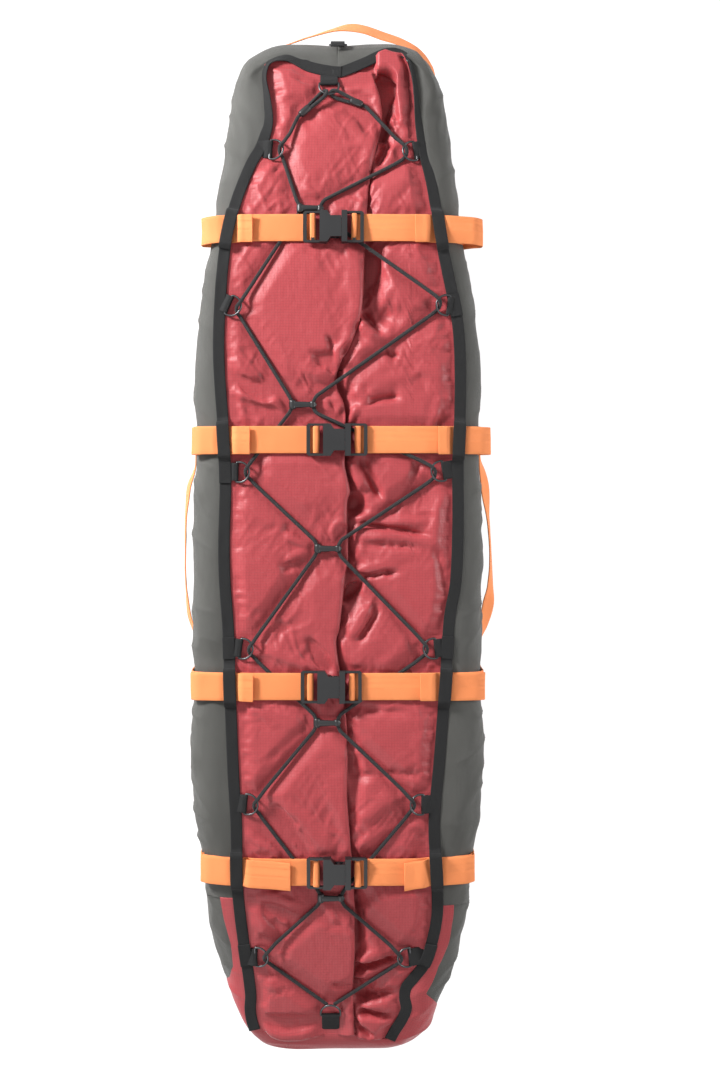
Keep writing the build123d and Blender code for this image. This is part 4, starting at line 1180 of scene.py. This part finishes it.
def wall_grid(side, q_from, q_to, rows, columns, t_from, t_to, proud=0.0):
    """Part of the wall between two limits each way; the limits of t may change along it."""
    q = np.linspace(q_from, q_to, rows)[:, None]
    v = np.linspace(0, 1, columns)[None, :]
    low = np.asarray(t_from(q)) if callable(t_from) else t_from
    high = np.asarray(t_to(q)) if callable(t_to) else t_to
    t = low + (high - low) * v + 0 * q
    return wall_surface(side, q + 0 * t, t, proud)


# lower edge of each red gusset: place along the outline, and how far down the wall
GUSSET = {
    1: [(0.7932, 0.19), (0.8172, 0.18), (0.8366, 0.155), (0.857, 0.19), (0.868, 0.30),
        (0.876, 0.60), (0.887, 1.0)],
    -1: [(0.80, 0.176), (0.8172, 0.18), (0.8385, 0.20), (0.859, 0.19), (0.8747, 0.245),
         (0.887, 0.26), (0.8955, 0.50), (0.907, 1.0)],
}
PANEL_FROM = 0.955          # where the tail panel takes over from the gussets
SEAM_LAP = 0.012            # how far the grey cloth runs on under the red, down the wall
PROUD = 0.7                 # how far the red cloth lies above the grey
GUSSET_AREA = {1: 0.0150, -1: 0.0134}


def build_walls():
    """Grey walls, the red gussets at the tail, and the red end panel between the gussets. The red
    pieces lie on the grey ones by the width of a seam."""
    for side, hand in SIDES:
        marks = np.array(GUSSET[side])
        start, stop = marks[0, 0], marks[-1, 0]

        def edge(q, lap=0.0):
            """How far down the wall the red cloth reaches, moved by a lap."""
            return np.clip(np.interp(q, marks[:, 0], marks[:, 1]) + lap, 0, 1)

        def grey_top(q):
            """Where the grey cloth begins: at the webbing, and under the red cloth's edge."""
            return np.where(q < start + 0.001, 0.0, edge(q, -SEAM_LAP))

        wall = (f"wall_{hand}", GREY_CLOTH, (0.20, 1.52), 0.24,
                (side, 0.0, stop, 560, 46, grey_top, 1.0))
        gusset = (f"gusset_{hand}", RED_CLOTH, (0.15, 0.28), GUSSET_AREA[side],
                  (side, start, PANEL_FROM, 130, 46, 0.0, edge, PROUD))
        for node, cloth, flat, area, limits in (wall, gusset):
            places, uv = wall_grid(*limits)
            if side == 1:
                places, uv = places[:, ::-1], uv[:, ::-1]
            piece = make_piece(f"{node}_fabric", places, uv, *cloth, wall=WALL_THICK,
                               replaces=[node])
    left, right = [wall_grid(side, PANEL_FROM, 1.0, 40, 40, 0.0, 1.0, PROUD) for side in HALVES]
    places = np.vstack([left[0], right[0][::-1][1:]])
    uv = np.vstack([left[1], right[1][::-1][1:]])
    uv[:, :, 0] = (np.arange(len(uv)) * 1.9)[:, None]
    panel = make_piece("tail_panel_fabric", places[:, ::-1], uv[:, ::-1], *RED_CLOTH,
                       replaces=["tail_panel"], wall=WALL_THICK)


build_walls()

# ---------------------------------------------------------------- edge webbing

# how far the webbing rolls outwards about its length, by distance run from the nose
ROLL = {
    1: [(0, 0), (50, 4), (85, 24), (115, 50), (145, 54), (180, 26), (225, 6), (2000, 0)],
    -1: [(0, 0), (95, 15), (125, 60), (165, 50), (220, 30), (300, 18), (420, 6), (2000, 0)],
}
DOUBLED = [(-28, 29), (-26, 30), (-25, 31), (-27, 28)]     # lengths sewn double at each strap
AT_RINGS = {1: [2, 3, 5], -1: [1, 3, 5]}                    # rings with such a length beside them
ON_CLOTH = FLAP_TOP + 1.2


def webbing_lift(y):
    """Height of the edge webbing: on the fabric, and raised where it passes over a strap."""
    return ON_CLOTH + 6.2 * smooth(1 - (strap_away(y) - STRAP_HALF - 2) / 11)


def webbing_frame(side):
    """The webbing's middle line and the direction its face looks."""
    line = webbing_line[side]
    lift = np.where(np.abs(line[:, 1]) > 655, ON_CLOTH, webbing_lift(line[:, 1]))
    path = seat(line[:, 0], line[:, 1], lift)
    ny, nz = crown_tilt(line[:, 1])
    up = np.stack([np.zeros(len(line)), ny, nz], axis=1)
    run = measure(line)
    roll = np.radians(np.interp(run, *zip(*ROLL[side])))[:, None]
    out = unit(np.cross(up, heading(path))) * -side
    return path, up * np.cos(roll) + out * np.sin(roll), run


def build_edge_webbing(side, hand):
    """Black webbing along the edge of the flaps, and the lengths sewn double over it beside the
    straps and the rings."""
    path, up, run = webbing_frame(side)
    if side == 1:
        path = path + up * 0.5 * np.exp(-(run / 16) ** 2)[:, None]
    bands = [ribbon(f"webbing_{hand}_main", path, up, EDGE_BAND, WEB, BLACK_STRAP, ripple=0.5,
                    seed=side + 5)]
    stretches = [(s + a, s + b) for s, (a, b) in zip(STRAP_Y, DOUBLED)]
    stretches += [(RINGS[side][k][1] - 17, RINGS[side][k][1] + 16) for k in AT_RINGS[side]]
    for number, (start, end) in enumerate(stretches):
        part = (path[:, 1] > start) & (path[:, 1] < end) & (run > 60)
        piece = evenly(path[part], 60)
        share, at = np.linspace(0, 1, 60), np.linspace(0, 1, part.sum())
        face = unit(np.stack([np.interp(share, at, up[part, k]) for k in range(3)], axis=1))
        bands.append(ribbon(f"webbing_{hand}_double_{number}", piece + face * 1.7, face,
                            EDGE_BAND + 1.2, 1.5, BLACK_STRAP, ripple=0.5,
                            seed=side + 11 + number))
    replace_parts(joined(f"edge_webbing_{hand}_bands", bands), f"edge_webbing_{hand}")


for side, hand in SIDES:
    build_edge_webbing(side, hand)

# ---------------------------------------------------------------- straps

# inner tail of each strap half: its length, how far its free end stands up, and its skew
TAILS = {
    1: [(25, 4.0, 1.5), (28, 3.0, 0.5), (24, 3.0, 1.0), (67, 3.0, 4.5)],
    -1: [(25, 4.0, 1.5), (20, 3.0, 0.5), (26, 3.0, -0.5), (36, 5.0, 4.0)],
}
# how far the folded loop of each strap stands out past the side of the cover
LOOPS = {1: [15, 4, 2, 1], -1: [29, 15, 4, 2]}
BUCKLE_BAR, BAR_THICK = 29.0, 4.6       # the bar's distance from its buckle's middle
TUNNEL_LIFT = 7.9                       # height of what lies on a strap under the edge webbing


def side_x(side, y):
    """Distance of the cover's side from the middle at a station."""
    outline = half_outline(side, 1200)
    aft = outline[np.abs(outline[:, 0]) > 110]
    return abs(float(np.interp(y, aft[:, 1], aft[:, 0])))


def strap_path(side, number):
    """Line of one strap in the cross-section of its station: round the buckle's bar, over the
    fabric, through the tunnel under the edge webbing, over the shoulder and down to the rim."""
    station, middle = STRAP_Y[number], BUCKLE_X[number]
    web_x = webbing_x(side, station)
    bar = side * middle + BUCKLE_BAR
    air = 0.3
    over = STRAP_LIFT + WEB + air + 3.2 + air + WEB / 2
    low = STRAP_LIFT + WEB / 2
    wrap = BAR_THICK / 2 + air + WEB / 2
    marks = [
        (bar - wrap, low), (bar - wrap, over), (bar + wrap, over), (bar + wrap, low + 0.4),
        (bar + 40, low + 0.6), (web_x - 26, low - 0.8), (web_x - 9, 6.2), (web_x + 10, 6.2),
    ]
    top = [seat(side * x, station, lift) for x, lift in marks]
    out_x = side_x(side, station)
    top_z = float(crown(np.array(station))) + 2.6
    r = SHOULDER_ROUND + 2
    shoulder = [
        (out_x - r * 0.55, top_z), (out_x + 2.4 - 6, top_z - 8), (out_x + 2.6, top_z - r * 0.62),
        (out_x + 3.0, HEM_Z + 30), (out_x + 2.8, HEM_Z + 2),
    ]
    down = [np.array([side * x, station, z]) for x, z in shoulder]
    radii = [2.0, 2.2, 2.2, 2.0, 60, 20, 20, 30, 14, 24, 60]
    return rounded(np.array(top + down), radii, 260)


def flat_band(name, path, side, width, skew=0.0, ripple=0.6, seed=1):
    """Strap whose width lies along the sled; skew swings its far end aft."""
    run = measure(path)
    lean = skew * (run / run[-1]) ** 1.5
    across = np.broadcast_to(np.array([0, 1.0, 0]), path.shape)
    top = unit(np.cross(across, heading(path))) * (-side)
    section = section_points(width, WEB)
    wave = ripple * lattice_noise(run[:, None] / 22, section[None, :, 0] / width * 1.7, seed)
    return strip(name, path, across, top, section, wave, ORANGE_STRAP,
                 lean=lean[:, None, None], turned=side == -1)


def laid_band(name, side, facing, station, marks, radii, count, width, skew, seed):
    """Flat band through marks given as a distance from the sled's middle and a height."""
    line = profile(marks, radii, count)
    path = seat(side * line[:, 0], station, line[:, 2])
    return flat_band(name, path, facing, width, skew, 0.8, seed)


def strap_tail(side, number):
    """Free end of a strap, lying on it from under the edge webbing towards the buckle."""
    length, stand, skew = TAILS[side][number]
    station = STRAP_Y[number] + 0.6
    web_x = webbing_x(side, station)
    edge = web_x - 9
    marks = [
        (web_x + 6, TUNNEL_LIFT), (edge, TUNNEL_LIFT), (edge - 8, STRAP_LIFT + 4.0),
        (edge - length * 0.6, STRAP_LIFT + 4.6), (edge - length, STRAP_LIFT + 2.8 + stand),
    ]
    return laid_band(f"strap_{number}_tail_{side}", side, -side, station, marks, [30, 14, 30], 60,
                     39.0, skew, 31 + number + side)


def strap_loop(side, number):
    """Folded end that stands out from the side of the cover: out from under the webbing, round a
    tight bend and back below itself."""
    station = STRAP_Y[number] + 0.8
    web_x = webbing_x(side, station)
    tip = side_x(side, station) + LOOPS[side][number]
    drop = 5.0 + 0.3 * (tip - web_x)
    marks = [
        (web_x - 4, TUNNEL_LIFT), (web_x + 14, TUNNEL_LIFT), (tip - 10, TUNNEL_LIFT - drop * 0.35),
        (tip, 3.6 - drop * 0.55), (tip - 1, -3.5 - drop * 0.6), (tip - 14, -4.4 - drop * 0.62),
        (tip - 34, -14.0 - drop * 0.6),
    ]
    return laid_band(f"strap_{number}_loop_{side}", side, side, station, marks,
                     [20, 40, 3.4, 3.4, 30], 90, 38.6, 2.0, 51 + number + side)


def build_straps():
    """Eight orange strap halves, each with its free end and its folded loop."""
    for number in range(4):
        for side, hand in SIDES:
            path = strap_path(side, number)
            main = flat_band(f"strap_{number}_main_{side}", path, side, 38.0, seed=71 + number)
            pieces = [main, strap_tail(side, number), strap_loop(side, number)]
            node = f"strap_{number + 1}_{hand}"
            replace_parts(joined(f"{node}_web", pieces), node)


build_straps()

# ---------------------------------------------------------------- rings, cords


def ring_path(x, y, ax, ay, count=96):
    """Closed D: a straight bar and a round side, lifted a little away from the bar. (ax, ay) is
    the plan direction from the bar to the round side."""
    half, depth = RING_HALF, RING_DEPTH
    turn = np.linspace(-np.pi / 2, np.pi / 2, 40)
    bow = np.stack([depth - half + half * np.cos(turn), half * np.sin(turn)], axis=1)
    corners = np.array([[0, half - 2.2], [0.6, half - 0.6], [2.2, half]])
    loop = np.vstack([[[0, 0]], [[0, half - 6]], corners, bow[::-1], corners[::-1] * [1, -1],
                      [[0, 6 - half]], [[0, -0.01]]])
    loop = evenly(loop, count + 1)[:-1]
    lift = RING_BAR_LIFT + loop[:, 0] * math.sin(RING_TILT)
    out = loop[:, 0] * math.cos(RING_TILT)
    return seat(x + out * ax - loop[:, 1] * ay, y + out * ay + loop[:, 1] * ax, lift)


def ring_tab(name, x, y, ax, ay, length):
    """Webbing tab from under the edge webbing round a ring's bar and back."""
    marks = [(-length, 1.4), (-length * 0.6, 3.2), (-2.5, 4.2), (2.7, 4.9), (2.9, 7.2),
             (2.0, 9.0), (-3.0, 8.4), (-length * 0.6, 4.7), (-length, 2.7)]
    line = profile(marks, [20, 4, 1.6, 1.6, 1.6, 4, 20], 48)
    path = seat(x + line[:, 0] * ax, y + line[:, 0] * ay, line[:, 2])
    up = unit(np.cross(heading(path), np.broadcast_to([ay, -ax, 0.0], path.shape)))
    return ribbon(name, path, up, 25.0, 1.4, BLACK_STRAP)


def ring_and_tab(name, x, y, ax, ay, length):
    """One D-ring with its tab."""
    ring = tube(f"{name}_wire", ring_path(x, y, ax, ay), RING_WIRE, 12, DARK_WIRE, closed=True)
    return ring, ring_tab(f"{name}_web", x, y, ax, ay, length)


def build_rings():
    """D-rings and their tabs along both sides, at the nose and at the tail."""
    for side, hand in SIDES:
        rings, tabs = [], []
        for number, (bar, y, angle) in enumerate(RINGS[side]):
            ax, ay = ring_heading(side, angle)
            length = webbing_x(side, y) - bar + 2.0
            ring, tab = ring_and_tab(f"ring_{hand}_{number}", side * bar, y, ax, ay, length)
            rings.append(ring)
            tabs.append(tab)
        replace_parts(joined(f"d_rings_{hand}_wires", rings), f"d_rings_{hand}")
        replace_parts(joined(f"ring_tabs_{hand}_webs", tabs), f"ring_tabs_{hand}")
    for name, (x, y), aft, length in (("nose", NOSE_RING, 1, 19.0), ("tail", TAIL_RING, -1, 25.0)):
        ring, tab = ring_and_tab(f"{name}_ring", x, y, 0, aft, length)
        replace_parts(ring, f"{name}_ring")
        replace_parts(tab, f"{name}_tab")


def build_lacing():
    """Both cords, their sleeves by the nose ring, and the plastic hooks that draw them together."""
    for side, hand in SIDES:
        tube(f"bungee_{hand}_cord", cord_line[side], CORD_RADIUS, 12, (BLACK_CORD, "black_cord"),
             replaces=[f"bungee_{hand}"])
    sleeves = []
    for side, hand in SIDES:
        (x, y), run = SLEEVES[side], nose_loop(side)[2]
        along = np.linspace(-9, 9, 13)
        swell = 4.9 + 0.5 * np.cos(along / 9 * np.pi / 2) - 0.6 * (np.abs(along) > 8.5)
        path = seat(x + along * run[0], y + along * run[1], 8.9)
        sleeves.append(tube(f"sleeve_{hand}", path, swell, 14, PLASTIC))
    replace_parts(joined("cord_sleeves_pair", sleeves), "cord_sleeves")
    hooks = []
    round_ends = np.array([0.78, 0.95, 1, 1, 1, 1, 1, 0.95, 0.78])
    ends = (("barrel", HOOK_REACH, 5.0, 6.5), ("claw", -HOOK_REACH, 4.8, 4.5))
    for number, (x, y) in enumerate(HOOKS):
        for name, dx, radius, half in ends:
            path = seat(x + dx, y + np.linspace(-half, half, 9), CORD_LIFT + 0.4)
            hooks.append(tube(f"hook_{number}_{name}", path, round_ends * radius, 16, PLASTIC))
        share = np.linspace(0, 1, 21)
        across = -HOOK_REACH - 5.5 + share * (2 * HOOK_REACH + 8.5)
        waist = (3.3 + 1.6 * share) * np.sqrt(np.clip(1 - (2 * share - 1) ** 8, 0.05, 1))
        hooks.append(tube(f"hook_{number}_bar", seat(x + across, y, CORD_LIFT + 2.6), waist, 16,
                          PLASTIC, flat=0.55))
    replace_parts(joined("cord_hooks_set", hooks), "cord_hooks")


build_rings()
build_lacing()

# ---------------------------------------------------------------- handles

# line of each handle: x, y, z and how far its face turns upwards, in degrees
NOSE_GRIP = [
    (141, -656, 142, 6), (138, -668, 143, 6), (126, -688, 146, 8), (100, -706, 150, 10),
    (70, -716, 152, 12), (43, -725, 154, 14), (9, -735, 155, 22), (-16, -739, 155, 36),
    (-38, -736, 155, 42), (-65, -727, 154, 40), (-90, -719, 152, 38), (-114, -706, 149, 40),
    (-132, -684, 146, 34), (-139, -666, 143, 18), (-142, -652, 142, 8),
]
SIDE_GRIPS = {
    1: [
        (204, -118, 176, 4), (205, -104, 178, 4), (208, -90, 180, 10), (215, -66, 178, 16),
        (219, -30, 177, 8), (220, 20, 176, 6), (219, 70, 176, 8), (215, 112, 176, 14),
        (207, 138, 176, 12), (204.5, 152, 176, 4), (204, 166, 176, 4),
    ],
    -1: [
        (-204, -126, 176, 4), (-205, -110, 178, 8), (-209, -90, 180, 24), (-213, -62, 181, 30),
        (-217, -20, 178, 12), (-220, 30, 176, 8), (-220, 70, 176, 20), (-217, 98, 177, 46),
        (-211, 128, 177, 30), (-205, 150, 176, 8), (-204, 166, 176, 4),
    ],
}


def build_grip(name, marks, width, node, seed):
    """Webbing handle along a line of points, its face turning as it was handled."""
    line = through(np.array(marks, float), 160)
    path, turn = line[:, :3], np.radians(line[:, 3:])
    upright = np.array([0, 0, 1.0])
    out = unit(np.cross(heading(path), np.broadcast_to(upright, path.shape)))
    out = out * np.sign((out[:, :2] * path[:, :2]).sum(axis=1, keepdims=True))
    up = out * np.cos(turn) + upright * np.sin(turn)
    return ribbon(name, path, up, width, 1.9, ORANGE_STRAP, replaces=[node], ripple=0.7, seed=seed)


def build_nose_strap():
    """Short webbing from the ladder lock on the nose up over its top edge."""
    marks = [(0, -713.4, 142), (0, -713.2, 160), (0, -711.4, 184), (0, -708, 195.5),
             (0, -701, 199.0)]
    path = rounded(np.array(marks, float), [60, 40, 8], 60)
    up = unit(np.cross(np.array([1.0, 0, 0]), heading(path)))
    ribbon("nose_strap_web", path, up, 20.0, WEB, BLACK_STRAP, replaces=["nose_strap"])


build_nose_strap()
build_grip("nose_handle_web", NOSE_GRIP, 25.0, "nose_handle", 81)
for side, hand in SIDES:
    build_grip(f"side_handle_{hand}_web", SIDE_GRIPS[side], 24.0, f"side_handle_{hand}", 83 + side)


# ---------------------------------------------------------------- camera, light and floor


def seen(tree):
    """1 for what the camera sees straight, in a mirror or through glass, and 0 for lighting."""
    path = tree.nodes.new("ShaderNodeLightPath")
    value = path.outputs["Is Camera Ray"]
    for kind in ("Is Glossy Ray", "Is Transmission Ray"):
        either = tree.nodes.new("ShaderNodeMath")
        either.operation = "MAXIMUM"
        tree.links.new(value, either.inputs[0])
        tree.links.new(path.outputs[kind], either.inputs[1])
        value = either.outputs[0]
    return value


def paper():
    """Matt white that glows where it is seen and still keeps a shadow."""
    material = bpy.data.materials.new("paper")
    material.use_nodes = True
    tree = material.node_tree
    tree.nodes.clear()
    out, mix, glow, matt, share = (tree.nodes.new(f"ShaderNode{kind}") for kind in (
        "OutputMaterial", "MixShader", "Emission", "BsdfDiffuse", "Math"))
    share.operation = "MULTIPLY"
    share.inputs[1].default_value = 0.8
    glow.inputs["Strength"].default_value = 1.2
    matt.inputs["Color"].default_value = (0.85, 0.85, 0.85, 1)
    tree.links.new(seen(tree), share.inputs[0])
    for number, node in enumerate((share, matt, glow)):
        tree.links.new(node.outputs[0], mix.inputs[number])
    tree.links.new(mix.outputs[0], out.inputs["Surface"])
    return material


LAMPS = [       # name, place, power, size
    ("key", (2.2, -1.7, 1.4), 180, 0.6),
    ("fill", (-2.4, -0.2, 0.75), 42, 1.0),
    ("tail_light", (0.9, 1.9, 1.7), 14, 1.2),
]
LIT_AT = Vector((0, 0, 0.15))


def set_stage():
    """White floor that keeps the sled's shadow, soft lamps above, and the camera straight above
    with the nose at the top of the picture."""
    scene = bpy.context.scene
    bpy.ops.mesh.primitive_plane_add(size=40, location=(0, 0, -0.0005))
    floor = bpy.context.object
    floor.name = "floor"
    floor.data.materials.append(paper())

    world = bpy.data.worlds.new("studio")
    scene.world = world
    world.use_nodes = True
    tree = world.node_tree
    background = tree.nodes["Background"]
    background.inputs["Color"].default_value = (1, 1, 1, 1)
    strength = tree.nodes.new("ShaderNodeMapRange")
    strength.inputs["To Min"].default_value = 0.32
    strength.inputs["To Max"].default_value = 1.0
    tree.links.new(seen(tree), strength.inputs["Value"])
    tree.links.new(strength.outputs[0], background.inputs["Strength"])

    for name, place, power, size in LAMPS:
        light = bpy.data.lights.new(name, "AREA")
        light.energy = power
        light.size = size
        lamp = bpy.data.objects.new(name, light)
        scene.collection.objects.link(lamp)
        lamp.location = place
        lamp.rotation_euler = (LIT_AT - Vector(place)).to_track_quat("-Z", "Y").to_euler()

    data = bpy.data.cameras.new("camera")
    data.sensor_fit = "VERTICAL"
    data.sensor_height = 36
    data.lens = 56.4
    data.shift_y = -0.065
    data.clip_end = 60
    camera = bpy.data.objects.new("camera", data)
    scene.collection.objects.link(camera)
    camera.location = (-0.032, -0.095, 2.62)
    camera.rotation_euler = (0, 0, math.pi)
    scene.camera = camera
    scene.view_settings.view_transform = "Standard"


set_stage()
